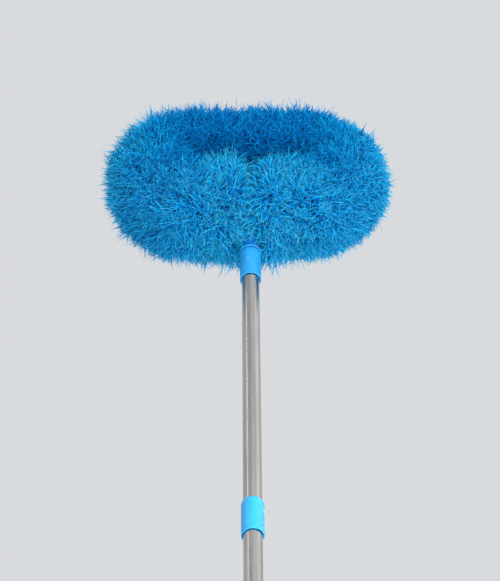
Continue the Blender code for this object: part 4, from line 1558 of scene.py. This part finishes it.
@dataclass
class RootMat:
    """The dense mat that the strands stand on: a section carried along the loop.

    Its meridian runs over its outside from one end of the loop to the other, rounded at both ends.
    """

    path: LoopPath
    lump_field: Waves
    outer: float = 49.5
    face: float = 39.0
    start: float = 10.5
    full: float = 24.0
    bore: float = 12.5
    bore_start: float = 44.0
    cuff_room: float = 15.0
    room_end: float = 42.5
    slot_side: float = 40.0
    lumps: float = 1.0
    ring_gap: float = 4.0

    def __post_init__(self) -> None:
        """Works out the meridian."""
        total = self.path.length / MM
        turn = np.linspace(0, math.pi / 2, 25)
        flat = np.linspace(self.cuff_room + 1, self.face, 6)[:-1]
        rise = np.concatenate([flat, self.face + (self.outer - self.face) * np.sin(turn)])
        rounding = self.full - (self.full - self.start) * np.cos(turn)
        at = np.concatenate([np.full(len(flat), self.start), rounding])
        middle = np.linspace(self.full, total - self.full, 200)[1:-1]
        self.outer_reach = np.concatenate([rise, np.full(len(middle), self.outer), rise[::-1]]) * MM
        self.outer_along = np.concatenate([at, middle, total - at[::-1]]) * MM
        steps = np.hypot(np.diff(self.outer_reach), np.diff(self.outer_along))
        self.meridian = np.concatenate([[0], np.cumsum(steps)])

    def squeeze(self, wall: Wall) -> Wall:
        """Flattens the mat towards the slot and adds slow lumps.

        reach becomes (reach⁻⁸ + limit⁻⁸)^(-1/8), where limit is the slot side's distance over the
        cosine of the angle to the slot, plus the lump field.

        Args:
            wall: The round mat.

        Returns:
            The squeezed mat.
        """
        limit = self.slot_side * MM / np.maximum(-np.cos(wall.angle), 0.05)
        soft = (wall.reach**-8 + limit**-8) ** -0.125
        field_here = self.lump_field.at(wall.along / self.path.length, wall.angle)
        lumps = self.lumps * MM * field_here * (wall.reach / (self.outer * MM))
        outside = wall.reach > (self.cuff_room + 0.5) * MM
        return wall.moved(outside, soft + lumps)

    def along(self, meridian: Array) -> Array:
        """The distance on the loop at a distance on the meridian."""
        return np.interp(meridian, self.meridian, self.outer_along)

    def reach(self, meridian: Array) -> Array:
        """The unsqueezed mat's reach at a distance on the meridian."""
        return np.interp(meridian, self.meridian, self.outer_reach)

    def surface(self, meridian: Array, angle: Array) -> Array:
        """The mat's point at a distance on its meridian and an angle round the loop."""
        return self.path.place(self.squeeze(Wall(self.reach(meridian), self.along(meridian), angle)))

    def stand(self, meridian: Array, angle: Array) -> tuple[Array, Array, Array, Array]:
        """How things stand on the mat, by small steps on it.

        Args:
            meridian: Distances on the meridian.
            angle: Angles round the loop.

        Returns:
            The mat's points, its tangents along and round it, and its outward normals.
        """
        step, turn = 0.4 * MM, 0.01
        ahead = unit(self.surface(meridian + step, angle) - self.surface(meridian - step, angle))
        round_it = unit(self.surface(meridian, angle + turn) - self.surface(meridian, angle - turn))
        return self.surface(meridian, angle), ahead, round_it, unit(np.cross(round_it, ahead))

    def roots(self, count: int) -> tuple[Array, Array]:
        """Evenly spread roots: a low-discrepancy sequence, stretched to the mat's area.

        The area of a step is reach·(1 + k·cos angle), where k is reach / bend in the bends and 0 on the
        bars. The angle solves angle + k·sin angle = 2π·v by halving.

        Args:
            count: How many.

        Returns:
            Their distances on the meridian and angles round the loop.
        """
        u, v = (np.arange(1, count + 1)[:, None] * PLASTIC ** -np.arange(1.0, 3.0) % 1).T
        area = (self.outer_reach[1:] + self.outer_reach[:-1]) * np.diff(self.meridian)
        total = np.concatenate([[0], np.cumsum(area)])
        meridian = np.interp(u * total[-1], total, self.meridian)
        k = self.path.bends(self.along(meridian)) * self.reach(meridian) / self.path.bend
        low, high = np.zeros(count), np.full(count, FULL_TURN)
        for _ in range(24):
            angle = (low + high) / 2
            under = angle + k * np.sin(angle) < FULL_TURN * v
            low, high = np.where(under, angle, low), np.where(under, high, angle)
        return meridian, (low + high) / 2

    def shape(self) -> Shape:
        """The mat: a thick tube along the loop with rounded ends and room for the cuffs.

        Returns:
            Its surface.
        """
        total, room, bore = self.path.length / MM, self.cuff_room, self.bore
        near = [(bore, self.bore_start), (room, self.room_end), (room, self.start)]
        inner = np.array([(reach, total - along) for reach, along in near[::-1]] + near) * MM
        reach = np.concatenate([self.outer_reach, inner[:, 0]])
        along = np.concatenate([self.outer_along, inner[:, 1]])
        section = Profile(reach, along, np.zeros(len(reach)), True)
        return carried(section.dense(self.ring_gap * MM), self.path, 72, self.squeeze)


@dataclass(frozen=True)
class Spots:
    """Where strands are rooted.

    Args:
        x: Millimetres to the right of the pole's axis.
        up: Millimetres over the slot's middle.
        angle: Angle round the loop.
    """

    x: Array
    up: Array
    angle: Array

    @property
    def off(self) -> Array:
        """How far the angle is from the side that faces the slot, which is at pi."""
        return np.abs(np.angle(np.exp(1j * (self.angle - math.pi))))


@dataclass(frozen=True)
class Grooming:
    """How the pile's length, lean and shade change from place to place, by smooth fades.

    Fades along x, up and down are in millimetres, and those round the loop in radians. The changes of
    shade by place are painted shade and painted light.
    """

    fall_sides: Fade = Fade(50.0, 10.0)
    fall_round: Fade = Fade(0.1, 0.7)
    bunches: tuple[tuple[float, float, Fade], ...] = (
        (-29, 1.0, Fade(22.5, 7.5)), (32, 0.4, Fade(39.0, 13.0))
    )
    lip_angle: float = 0.95
    lip_round: Fade = Fade(0.525, 0.175)
    sway_sides: Fade = Fade(60.0, 120.0)
    sway_share: float = 0.12
    corner_side: Fade = Fade(-90.0, -127.5)
    corner_up: Fade = Fade(0.0, 30.0)
    corner_share: float = 0.22
    lower_open: Fade = Fade(0.2, 0.95)
    upper_open: Fade = Fade(0.3, 1.4)
    # Painted shade on the side that faces the slot.
    crease_round: Fade = Fade(1.0, 0.3)
    crease_share: float = 0.26
    # Painted shade under the top run and round the slot, fainter at the rear; it also keeps tips from their
    # pale end.
    dull_sides: Fade = Fade(165.0, 57.75)
    dull_up: Fade = Fade(-12.0, 12.0)
    dull_rear: Fade = Fade(0.0, 0.5)
    dull_rear_share: float = 0.6
    dull_round: Fade = Fade(3.2, 1.6)
    dull_edge: tuple[Pair, ...] = (
        (-110, 44), (-60, 42), (-44, 20), (-29, 7), (-14, 22), (0, 36), (30, 34), (60, 38), (100, 44)
    )
    dull_share: float = 0.41
    # Painted light round the stem and under the slot's middle.
    clean_middle: float = 10.0
    clean_sides: Fade = Fade(112.5, 37.5)
    clean_depth: Fade = Fade(12.0, 36.0)
    clean_share: float = 0.18
    fall_clean_share: float = 0.14
    # Painted shade under the slot towards both sides.
    left_dull: Fade = Fade(-60.0, -120.0)
    left_share: float = 0.26
    right_dull: Fade = Fade(75.0, 125.0)
    right_share: float = 0.18
    low_depth: Fade = Fade(25.0, 60.0)

    def fall(self, at: Spots) -> Array:
        """How far strands hang down round the stem: 1 under the hub, fading along x and up the sides."""
        return self.fall_sides.at(np.abs(at.x)) * self.fall_round.at(np.cos(at.angle)) * (at.up < 0)

    def lip(self, at: Spots) -> Array:
        """Up to 1 on the slot's lower edge, where longer tufts stand up in two bunches, and 0 elsewhere."""
        along = sum(share * fade.at(np.abs(at.x - middle)) for middle, share, fade in self.bunches)
        return along * self.lip_round.at(np.abs(at.off - self.lip_angle)) * (at.up < 0)

    def sway(self, at: Spots) -> Array:
        """The pile is combed a little to -x: longer there, most at the upper corner, and shorter at +x.

        Args:
            at: The roots.

        Returns:
            How much longer each strand is, as a share.
        """
        sides = -np.sign(at.x) * self.sway_sides.at(np.abs(at.x))
        corner = self.corner_side.at(at.x) * self.corner_up.at(at.up)
        return self.sway_share * sides + self.corner_share * corner

    def opened(self, at: Spots) -> Array:
        """How full-grown strands are: 0 on the side that faces the slot and 1 away from it."""
        return np.where(at.up > 0, self.upper_open.at(at.off), self.lower_open.at(at.off))

    def dull(self, at: Spots) -> Array:
        """1 under the top run, where shade is painted, fading along x, up its sides and towards the rear.

        Its lower edge lies under the slot by depths given along x, which bow round the slot and its
        tufts, and the bunches on the slot's lower edge stay out of the painted shade.

        Args:
            at: The roots.

        Returns:
            How deep in the painted shade each is, from 0 to 1.
        """
        depth = np.interp(at.x, *zip(*self.dull_edge))
        front = 1 - self.dull_rear_share * self.dull_rear.at(np.sin(at.angle))
        sides = self.dull_sides.at(np.abs(at.x)) * self.dull_up.at(at.up + depth)
        return sides * front * self.dull_round.at(at.off) * (1 - self.lip(at))

    def shade(self, at: Spots) -> Array:
        """The shade's change by place.

        It paints shade under the top run and on the side that faces the slot, paints light round the stem and
        under the slot's middle, and paints shade under the slot towards both sides.

        Args:
            at: The roots.

        Returns:
            The change, from dull to bright.
        """
        middle = self.clean_sides.at(np.abs(at.x - self.clean_middle)) * self.clean_depth.at(-at.up)
        sides = self.left_share * self.left_dull.at(at.x) + self.right_share * self.right_dull.at(at.x)
        under = self.clean_share * middle - sides * self.low_depth.at(-at.up)
        crease = self.crease_share * self.crease_round.at(at.off)
        return self.fall_clean_share * self.fall(at) - self.dull_share * self.dull(at) - crease + under


@dataclass(frozen=True)
class Strands:
    """Flat tapered strands.

    Args:
        line: Points on each middle line, (n, rings + 1, 3).
        width: Each one's full width.
        reach: How far up the colour map its tip comes.
        shade: From 0, dark, to 1, bright: its own tone, with painted shade and painted light by place.
        spin: Its turn about its own line at the root.
        twist: Its further turn towards the tip.
        up: A direction that its flat side is measured from.
        along: Its root's distance on the loop.
        rear: Whether its root lies on the rear.
    """

    line: Array
    width: Array
    reach: Array
    shade: Array
    spin: Array
    twist: Array
    up: Array
    along: Array
    rear: Array

    def those(self, chosen: Array) -> "Strands":
        """The chosen strands alone."""
        return Strands(*(values[chosen] for values in vars(self).values()))


@dataclass(frozen=True)
class Ribbon:
    """How a strand is skinned: a flat three-sided ribbon that ends in a point.

    Args:
        stations: The rings' places on the middle line, as shares.
        widths: The rings' widths, as shares of the strand's.
        thick_share: The ribbon's thickness as a share of its half width.
        map_width: The width of a strand's column in its map.
    """

    stations: tuple[float, ...] = (0.0, 0.36, 0.66, 0.88)
    widths: tuple[float, ...] = (0.8, 1.0, 0.74, 0.40)
    thick_share: float = 0.45
    map_width: float = 1 / 256

    @property
    def steps(self) -> Array:
        """The places of the rings and the tip on the middle line."""
        return np.append(self.stations, 1.0)

    def shape(self, strands: Strands) -> Shape:
        """One surface of closed ribbons.

        A ring is w·(cos a·wide + thick share·sin a·thick) at a = 0°, 90° and 180°, and wide turns
        about the middle line on the way.

        Args:
            strands: The strands.

        Returns:
            Their surface, with its map.
        """
        line = strands.line
        count, rings = len(line), len(self.stations)
        way = unit(np.gradient(line, axis=1))[:, :rings]
        side = unit(np.cross(way, strands.up[:, None]))
        over = np.cross(way, side)
        roll = (strands.spin[:, None] + strands.twist[:, None] * np.array(self.stations))[..., None]
        wide = np.cos(roll) * side + np.sin(roll) * over
        thick = np.cross(way, wide)
        half = (strands.width[:, None] * np.array(self.widths) / 2)[..., None]
        corners = np.stack([wide * half, thick * half * self.thick_share, -wide * half], 2)
        corners = corners + line[:, :rings, None]
        points = np.concatenate([corners.reshape(count, rings * 3, 3), line[:, -1:]], 1).reshape(-1, 3)
        first = np.arange(count)[:, None, None] * (rings * 3 + 1)
        ring = np.arange(rings * 3).reshape(rings, 3)
        beside = np.roll(ring, -1, 1)
        quads = np.stack([ring[:-1], beside[:-1], beside[1:], ring[1:]], -1).reshape(-1, 4)
        ends = np.stack([ring[-1], beside[-1], np.full(3, rings * 3)], -1)
        ends = np.concatenate([ends, [[2, 1, 0]]])
        faces = [(first + quads).reshape(-1, 4), (first + ends).reshape(-1, 3)]
        return Shape(points, faces, np.zeros(len(points)), {STRAND_MAP: self.spread(strands)})

    def spread(self, strands: Strands) -> Array:
        """The ribbons' map: a narrow column for each, across at its shade and up from root to tip.

        Args:
            strands: The strands.

        Returns:
            The map's places in the order of the faces' corners.
        """
        rise, half = self.steps * 0.98 + 0.01, self.map_width / 2
        low, high = rise[:-2], rise[1:-1]
        quad_up = np.repeat(np.stack([low, low, high, high], -1), 3, 0)
        quad_across = np.broadcast_to(np.array([-1, 1, 1, -1]) * half, quad_up.shape)
        end_up = np.array([[rise[-2], rise[-2], rise[-1]]] * 3 + [[rise[0] + 0.01, rise[0], rise[0]]])
        end_across = np.array([[-1, 1, 0]] * 3 + [[0, 1, -1]]) * half
        shade, reach = strands.shade[:, None, None], strands.reach[:, None, None]
        sheets = ((quad_across, quad_up), (end_across, end_up))
        return np.concatenate([
            np.stack([shade + across[None], reach * up[None]], -1).reshape(-1, 2) for across, up in sheets
        ])


@dataclass(frozen=True)
class Region:
    """A stretch of the loop, in metres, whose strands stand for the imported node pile_name."""

    name: str
    start: float
    end: float


@dataclass
class Pile:
    """The fluffy cover: a dark mat of roots and thousands of flat tapered strands that clump together.

    A strand is under (short and dark), fine, stray (long, thin and apart) or plain, by a random
    kind. Triples give what the under, the fine and the stray ones have more or less than the plain.
    Where strands clear the stem, stem_top is metres up the pole.
    """

    path: LoopPath
    grooming: Grooming = Grooming()
    ribbon: Ribbon = Ribbon()
    count: int = 62_000
    seed: int = 11
    under_kind: float = 0.24
    fine_kind: float = 0.50
    stray_kind: float = 0.97
    length: float = 20.5
    size_span: Pair = (0.80, 1.10)
    size_more: Triple = (-0.30, 0.10, 0.28)
    slot_share: float = 0.45
    end_share: float = 0.75
    end_fade: float = 12.0
    fall_share: float = 0.6
    fall_right_share: float = 0.4
    fall_drop: float = -0.7
    fall_inward: float = 0.4
    fall_inward_right: float = 0.15
    lip_share: float = 0.35
    lip_lift: float = 0.5
    crown_share: float = 0.22
    slow_lean: float = 0.15
    own_lean: float = 0.72
    clump_gap: float = 7.5
    clump_jitter: float = 0.42
    clump_lean: float = 0.46
    clump_lean_share: float = 0.5
    clump_pull: Pair = (0.15, 0.7)
    clump_shade: float = 0.13
    clump_size: Pair = (0.86, 1.16)
    knee_span: Pair = (0.35, 0.62)
    knee_forward: float = 0.12
    root_depth: float = 1.2
    hook_span: Pair = (0.12, 0.68)
    droop_share: float = 0.07
    fine_width: Pair = (1.0, 1.5)
    plain_width: Pair = (1.8, 3.0)
    stray_width_share: float = 0.55
    twist: float = 1.1
    shade: float = 0.62
    own_shade: float = 0.20
    shade_more: Triple = (-0.22, 0.22, 0.22)
    slow_shade: float = 0.05
    dull_tips: float = 0.30
    held_to: Pair = (190.0, 68.0)
    give: float = 12.0
    stem_room: float = 9.7
    stem_top: float = 1.42

    def __post_init__(self) -> None:
        """Draws the fields, the mat's first."""
        self.rng = np.random.default_rng(self.seed)
        self.mat = RootMat(self.path, Waves(self.rng, 14, 5))
        self.lean_fields = [Waves(self.rng, 9, 4), Waves(self.rng, 9, 4)]
        self.shade_field = Waves(self.rng, 16, 6)

    def spots(self, here: Array, angle: Array) -> Spots:
        """Roots by where they lie."""
        return Spots(here[:, 0] / MM, (here[:, 2] - self.path.slot_height) / MM, angle)

    def shares(self, at: Spots, along: Array) -> Array:
        """How long strands are, as shares of the full length.

        They are short in the slot and at the loop's ends, and longer in the slot's bunches, where
        they fall round the stem, where the pile is combed to and along its crown.

        Args:
            at: The roots.
            along: Their distances on the loop, in metres.

        Returns:
            The shares.
        """
        groom = self.grooming
        from_end = np.minimum(along, self.path.length - along) / MM
        full = smooth_step((from_end - self.mat.start) / self.end_fade)
        crown = smooth_step(at.up * MM / self.path.bend - 1)
        share = self.slot_share + (1 - self.slot_share) * groom.opened(at)
        share = share * (1 + self.lip_share * groom.lip(at))
        share = share * (self.end_share + (1 - self.end_share) * full)
        share = share * (1 + self.fall_share * groom.fall(at) * (1 + self.fall_right_share * (at.x > 0)))
        return share * (1 + groom.sway(at)) * (1 + self.crown_share * crown)

    def grow(self, meridian: Array, angle: Array, lean: Array) -> tuple[Array, Array, Array]:
        """Full-grown strands, straight from root to tip.

        Args:
            meridian: Distances on the mat's meridian.
            angle: Angles round the loop.
            lean: Random lean of each, (n, 2), added to the slow lean field.

        Returns:
            The roots, the mat's normals and the tips.
        """
        here, ahead, round_it, normal = self.mat.stand(meridian, angle)
        along = self.mat.along(meridian)
        at = self.spots(here, angle)
        turn = along / self.path.length
        slow = np.stack([f.at(turn, angle) for f in self.lean_fields], -1) * self.slow_lean + lean
        way = unit(normal + slow[:, :1] * ahead + slow[:, 1:] * round_it)
        inward = -np.sign(at.x) * (self.fall_inward + self.fall_inward_right * (at.x > 0))
        fall = np.stack([inward, np.zeros(len(here)), np.full(len(here), self.fall_drop)], -1)
        way = unit(way + self.grooming.fall(at)[:, None] * fall)
        way = unit(way + np.array([0, 0, self.lip_lift]) * self.grooming.lip(at)[:, None])
        return here, normal, here + way * (self.length * MM * self.shares(at, along))[:, None]

    def clumps(self, meridian: Array, angle: Array) -> tuple[Array, Array]:
        """Each strand's clump, the nearest of jittered middles in a grid.

        Args:
            meridian: Distances on the mat's meridian.
            angle: Angles round the loop.

        Returns:
            The clump's number for each strand, and the (clumps, 2) middles as meridian and angle.
        """
        end, swell = self.mat.meridian[-1], 1.1
        across = max(int(end / (self.clump_gap * MM)), 1)
        around = int(FULL_TURN * swell * self.mat.outer / self.clump_gap)
        jitter = self.rng.uniform(-self.clump_jitter, self.clump_jitter, (across, around, 2))
        rows, columns = np.meshgrid(np.arange(across), np.arange(around), indexing="ij")
        places = np.stack([rows, columns], -1) + 0.5 + jitter
        at = np.stack([meridian / end * across, angle / FULL_TURN * around], -1)
        cell = np.floor(at).astype(int)
        best, chosen = np.full(len(at), np.inf), np.zeros(len(at), int)
        for step in np.stack(np.meshgrid([-1, 0, 1], [-1, 0, 1]), -1).reshape(-1, 2):
            row = np.clip(cell[:, 0] + step[0], 0, across - 1)
            column = cell[:, 1] + step[1]
            spot = places[row, column % around] + np.stack([np.zeros(len(at)), column - column % around], -1)
            far = ((at - spot) ** 2).sum(-1)
            nearer = far < best
            best = np.where(nearer, far, best)
            chosen = np.where(nearer, row * around + column % around, chosen)
        return chosen, places.reshape(-1, 2) * [end / across, FULL_TURN / around]

    def strands(self) -> Strands:
        """Every strand.

        A strand is a quadratic curve: root·(1-t)² + knee·2t(1-t) + tip·t², plus a hook that grows
        as t³ and a droop that grows as t². Its tip is pulled towards its clump's.

        Returns:
            The strands.
        """
        rng, (meridian, angle) = self.rng, self.mat.roots(self.count)
        count = self.count
        clump, middles = self.clumps(meridian, angle)
        clump_lean = rng.normal(0, self.clump_lean, (len(middles), 2))
        clump_pull = rng.uniform(*self.clump_pull, len(middles))
        clump_shade = rng.normal(0, self.clump_shade, len(middles))
        clump_size = rng.uniform(*self.clump_size, len(middles))
        mid_root, _, mid_tip = self.grow(middles[:, 0], middles[:, 1] % FULL_TURN, clump_lean)
        mid_tip = mid_root + (mid_tip - mid_root) * clump_size[:, None]
        own_lean = clump_lean[clump] * self.clump_lean_share + rng.normal(0, self.own_lean, (count, 2))
        root, normal, tip = self.grow(meridian, angle, own_lean)
        kind = rng.random(count)
        under, stray = kind < self.under_kind, kind > self.stray_kind
        fine = (kind > self.under_kind) & (kind < self.fine_kind)
        kinds = np.stack([under, fine, stray], -1)
        tip = root + (tip - root) * (rng.uniform(*self.size_span, count) + kinds @ self.size_more)[:, None]
        pull = (clump_pull[clump] * rng.uniform(0.3, 1.0, count) * ~(stray | under))[:, None]
        tip = tip * (1 - pull) + mid_tip[clump] * pull
        span = np.linalg.norm(tip - root, axis=1)[:, None]
        knee = root + normal * span * rng.uniform(*self.knee_span, (count, 1))
        knee = knee + (tip - root) * self.knee_forward
        foot = root - normal * self.root_depth * MM
        at = self.spots(foot, angle)
        hook = unit(rng.normal(0, 1, (count, 3))) * span * rng.uniform(*self.hook_span, (count, 1))
        droop = np.array([0, 0, -1.0]) * span * self.droop_share
        t = self.ribbon.steps[None, :, None]
        line = foot[:, None] * (1 - t) ** 2 + knee[:, None] * 2 * t * (1 - t) + tip[:, None] * t**2
        line = line + hook[:, None] * t**3 + droop[:, None] * t**2
        width = np.where(fine, rng.uniform(*self.fine_width, count), rng.uniform(*self.plain_width, count))
        shade = self.shade + clump_shade[clump] + rng.normal(0, self.own_shade, count)
        shade = shade + kinds @ self.shade_more
        along = self.mat.along(meridian)
        slow = self.slow_shade * self.shade_field.at(along / self.path.length, angle)
        return Strands(
            line=self.clear_stem(self.pressed(line)),
            width=width * np.where(stray, self.stray_width_share, 1) * MM,
            # Painted shade keeps tips from their pale end, and the shade by place adds painted shade and
            # painted light.
            reach=1 - self.dull_tips * self.grooming.dull(at),
            shade=np.clip(shade + self.grooming.shade(at) + slow, 0.01, 0.99),
            spin=rng.uniform(0, FULL_TURN, count),
            twist=rng.normal(0, self.twist, count),
            up=unit(rng.normal(0, 1, (count, 3))),
            along=along,
            rear=np.sin(angle) > 0,
        )

    def pressed(self, line: Array) -> Array:
        """Holds strands in at the sides, front and rear.

        Past held_to, they go on by give·tanh(excess / give).

        Args:
            line: The middle lines.

        Returns:
            The held lines.
        """
        flat, held = line[..., :2], np.array(self.held_to) * MM
        excess = np.maximum(np.abs(flat) - held, 0)
        soft = self.give * MM * np.tanh(excess / (self.give * MM))
        return np.concatenate([np.sign(flat) * (np.abs(flat) - excess + soft), line[..., 2:]], -1)

    def clear_stem(self, line: Array) -> Array:
        """Pushes strands off the hub's stem: a point nearer its axis moves straight out to its room.

        Args:
            line: The middle lines.

        Returns:
            The lines, clear of the stem.
        """
        off, room = np.hypot(line[..., 0], line[..., 1]), self.stem_room * MM
        grown = np.where((line[..., 2] < self.stem_top) & (off < room), room / np.maximum(off, 0.1 * MM), 1)
        return np.concatenate([line[..., :2] * grown[..., None], line[..., 2:]], -1)

    def regions(self) -> list[Region]:
        """The seven stretches of the loop, by the nodes they stand for."""
        _, low, _, _, end, total = self.path.knots
        quarter = math.pi * self.path.bend / 2
        stops = [0, low, low + quarter, low + 2 * quarter, end - 2 * quarter, end - quarter, end, total]
        right = ["bottom_right", "corner_bottom_right", "corner_top_right"]
        names = [*right, "top", *(name.replace("right", "left") for name in right[::-1])]
        return [Region(*stretch) for stretch in zip(names, stops[:-1], stops[1:])]

    def build(self, finishes: Finishes) -> None:
        """Builds and dresses the mat and the strands, front and rear of each stretch apart.

        Args:
            finishes: The finishes.
        """
        mount("pile_root_mat", self.mat.shape(), Body.HEAD, finishes.nap)
        strands = self.strands()
        for region in self.regions():
            inside = (strands.along >= region.start) & (strands.along < region.end)
            for side, there in (("front", ~strands.rear), ("rear", strands.rear)):
                tuft = self.ribbon.shape(strands.those(np.flatnonzero(inside & there)))
                mount(f"strands_{region.name}_{side}", tuft, Body.HEAD, finishes.pile, f"pile_{region.name}")


COOL: Colour = (0.90, 0.96, 1.0)


@dataclass(frozen=True)
class Lamp:
    """An oblong soft lamp, in metres.

    Args:
        name: Its name.
        place: Where it hangs.
        aim: The point it faces.
        size: Its width and height.
        watts: Its power.
        beam: How wide its light spreads, in degrees.
        mirrored: Whether steel and gloss show it.
        tint: Its light's colour.
    """

    name: str
    place: Place
    aim: Place
    size: Pair
    watts: float
    beam: float = 180.0
    mirrored: bool = True
    tint: Colour = (1.0, 1.0, 1.0)

    def hang(self) -> None:
        """Hangs the lamp. The camera doesn't see it."""
        data = bpy.data.lights.new(self.name, "AREA")
        data.shape, data.size, data.size_y, data.energy = "RECTANGLE", *self.size, self.watts
        data.spread, data.color = math.radians(self.beam), self.tint
        made = placed(self.name, data)
        made.location = self.place
        made.rotation_mode = "QUATERNION"
        made.rotation_quaternion = (Vector(self.aim) - Vector(self.place)).to_track_quat("-Z", "Y")
        made.visible_camera, made.visible_glossy = False, self.mirrored


@dataclass(frozen=True)
class Studio:
    """Pale floor and background, soft lamps, and the camera at the photograph's angle, in metres."""

    camera_place: Place = (-0.0009, -2.078, -1.398)
    camera_way: Place = (0.0, 0.6157, 0.7880)
    roll: float = -0.5
    lens: float = 168.1
    sensor: float = 36.0
    seen: Pair = (0.01, 200.0)
    floor_height: float = -9.2
    floor_thick: float = 0.05
    floor_rings: tuple[float, ...] = (0, 3, 9, 25, 60)
    floor_lift: float = 0.55
    floor_dark: Colour = (0.76, 0.77, 0.785)
    floor_light: Colour = (0.80, 0.81, 0.82)
    pale: Colour = (0.69, 0.705, 0.73)
    ambient: Colour = (0.22, 0.224, 0.23)
    lamps: tuple[Lamp, ...] = (
        Lamp("front_softbox", (0.9, -3.2, 0.1), (0, 0, 1.0), (4.4, 4.4), 122, tint=COOL),
        Lamp("low_softbox", (0.4, -1.0, -1.25), (0, 0, 1.5), (2.6, 2.6), 70, mirrored=False, tint=COOL),
        Lamp("joint_softbox", (0.75, -0.8, 0.45), (0, 0, 0.82), (0.3, 0.3), 0.75, beam=40, mirrored=False),
        Lamp("left_softbox", (-3.2, -1.2, 0.9), (0, 0, 0.9), (1.6, 3.0), 22),
        Lamp("right_softbox", (3.4, -0.6, 0.6), (0, 0, 0.9), (2.2, 3.0), 25),
        Lamp("back_softbox", (0.4, 3.6, 1.6), (0, 0, 1.0), (4.4, 4.4), 98),
        Lamp("top_softbox", (0.0, 0.9, 4.4), (0, 0, 1.5), (3.0, 3.0), 85, mirrored=False),
        Lamp("left_strip", (-2.2, -1.27, 4.3), (0, 0, 0.9), (0.4, 2.6), 6),
        Lamp("right_panel", (2.3, -0.3, 3.0), (0, 0, 0.6), (1.9, 2.4), 6.5),
        Lamp("wide_panel", (1.5, -2.0, 3.2), (0, 0, 0.9), (3.6, 2.4), 9),
    )

    def camera(self) -> None:
        """Looks along camera_way with the frame's up close to +z, turned by roll degrees."""
        data = bpy.data.cameras.new("photo_camera")
        data.lens, data.sensor_width = self.lens, self.sensor
        data.clip_start, data.clip_end = self.seen
        made = placed("photo_camera", data)
        away = -Vector(self.camera_way).normalized()
        right = Vector(Z_WAY).cross(away).normalized()
        level = Matrix((right, away.cross(right), away)).transposed()
        turned = Matrix.Rotation(math.radians(self.roll), 3, away) @ level
        made.matrix_world = Matrix.Translation(self.camera_place) @ turned.to_4x4()
        bpy.context.scene.camera = made

    @staticmethod
    def looking(net: Net) -> Socket:
        """1 where the camera, gloss or glass looks, 0 for the light that falls on things.

        Args:
            net: The material's or the world's net.

        Returns:
            The value's socket.
        """
        ray = net.node("ShaderNodeLightPath").outputs
        mirrored = net.math("MAXIMUM", ray["Is Glossy Ray"], ray["Is Transmission Ray"])
        return net.math("MAXIMUM", ray["Is Camera Ray"], mirrored)

    def world(self) -> None:
        """Lights by a plain level, and shows the pale background to the camera, gloss and glass."""
        made = bpy.data.worlds.new("studio_world")
        made.use_nodes = True
        made.node_tree.nodes.clear()
        net = Net(made.node_tree)
        colour = net.mix(self.looking(net), self.ambient, self.pale)
        light = net.node("ShaderNodeBackground", {0: colour, 1: 1.0})
        net.node("ShaderNodeOutputWorld", {0: light.outputs[0]})
        bpy.context.scene.world = made

    def floor(self) -> None:
        """A wide disc far below: pale where it is looked at, and it keeps the object's shadow."""
        reach = np.array(self.floor_rings, float)
        top = np.full(len(reach), self.floor_height)
        along = np.append(top - self.floor_thick, top)
        profile = Profile(np.append(reach, reach[::-1]), along, np.zeros(2 * len(reach)), False)
        piece = placed("studio_floor", carried(profile, Line(), 96).mesh("studio_floor"))
        made, net = begin("pale_floor")
        base = net.mix(net.noise(net.place, 0.4), self.floor_dark, self.floor_light)
        glow = net.times(self.looking(net), self.floor_lift)
        net.close(Base_Color=base, Roughness=0.9, Emission_Color=self.pale, Emission_Strength=glow)
        piece.data.materials.append(made)

    def build(self) -> None:
        """Sets up the studio."""
        self.camera()
        self.world()
        self.floor()
        for lamp in self.lamps:
            lamp.hang()
        bpy.context.scene.view_settings.view_transform = "Standard"


def main() -> None:
    """Builds the duster and its studio."""
    logging.basicConfig(level=logging.INFO, format="%(name)s: %(message)s")
    finishes, thread, path, hub = Finishes(), Thread(), LoopPath(), Hub()
    low, middle, top = 0.3963, 0.8617, hub.shoulder
    HandGrip().build(finishes)
    for section in (
        Section("lower", Body.HANDLE, (-0.065, 0.379), Sleeve(low, 60)),
        Section("middle", Body.MIDDLE, (0.4004, 0.8444), Sleeve(middle, 150), low),
        Section("upper", Body.UPPER, (0.8658, 1.3098), Sleeve(top, -104), middle),
    ):
        section.build(finishes, thread)
    for seal in (
        Seal("lower", Body.LOWER_SEAL, low), Seal("middle", Body.MIDDLE_SEAL, middle),
        Seal("upper", Body.UPPER_SEAL, top),
    ):
        seal.build(finishes)
    hub.build(finishes, thread)
    LoopCore(path, hub).build(finishes)
    Pile(path).build(finishes)
    Studio().build()


if __name__ == "__main__":
    main()
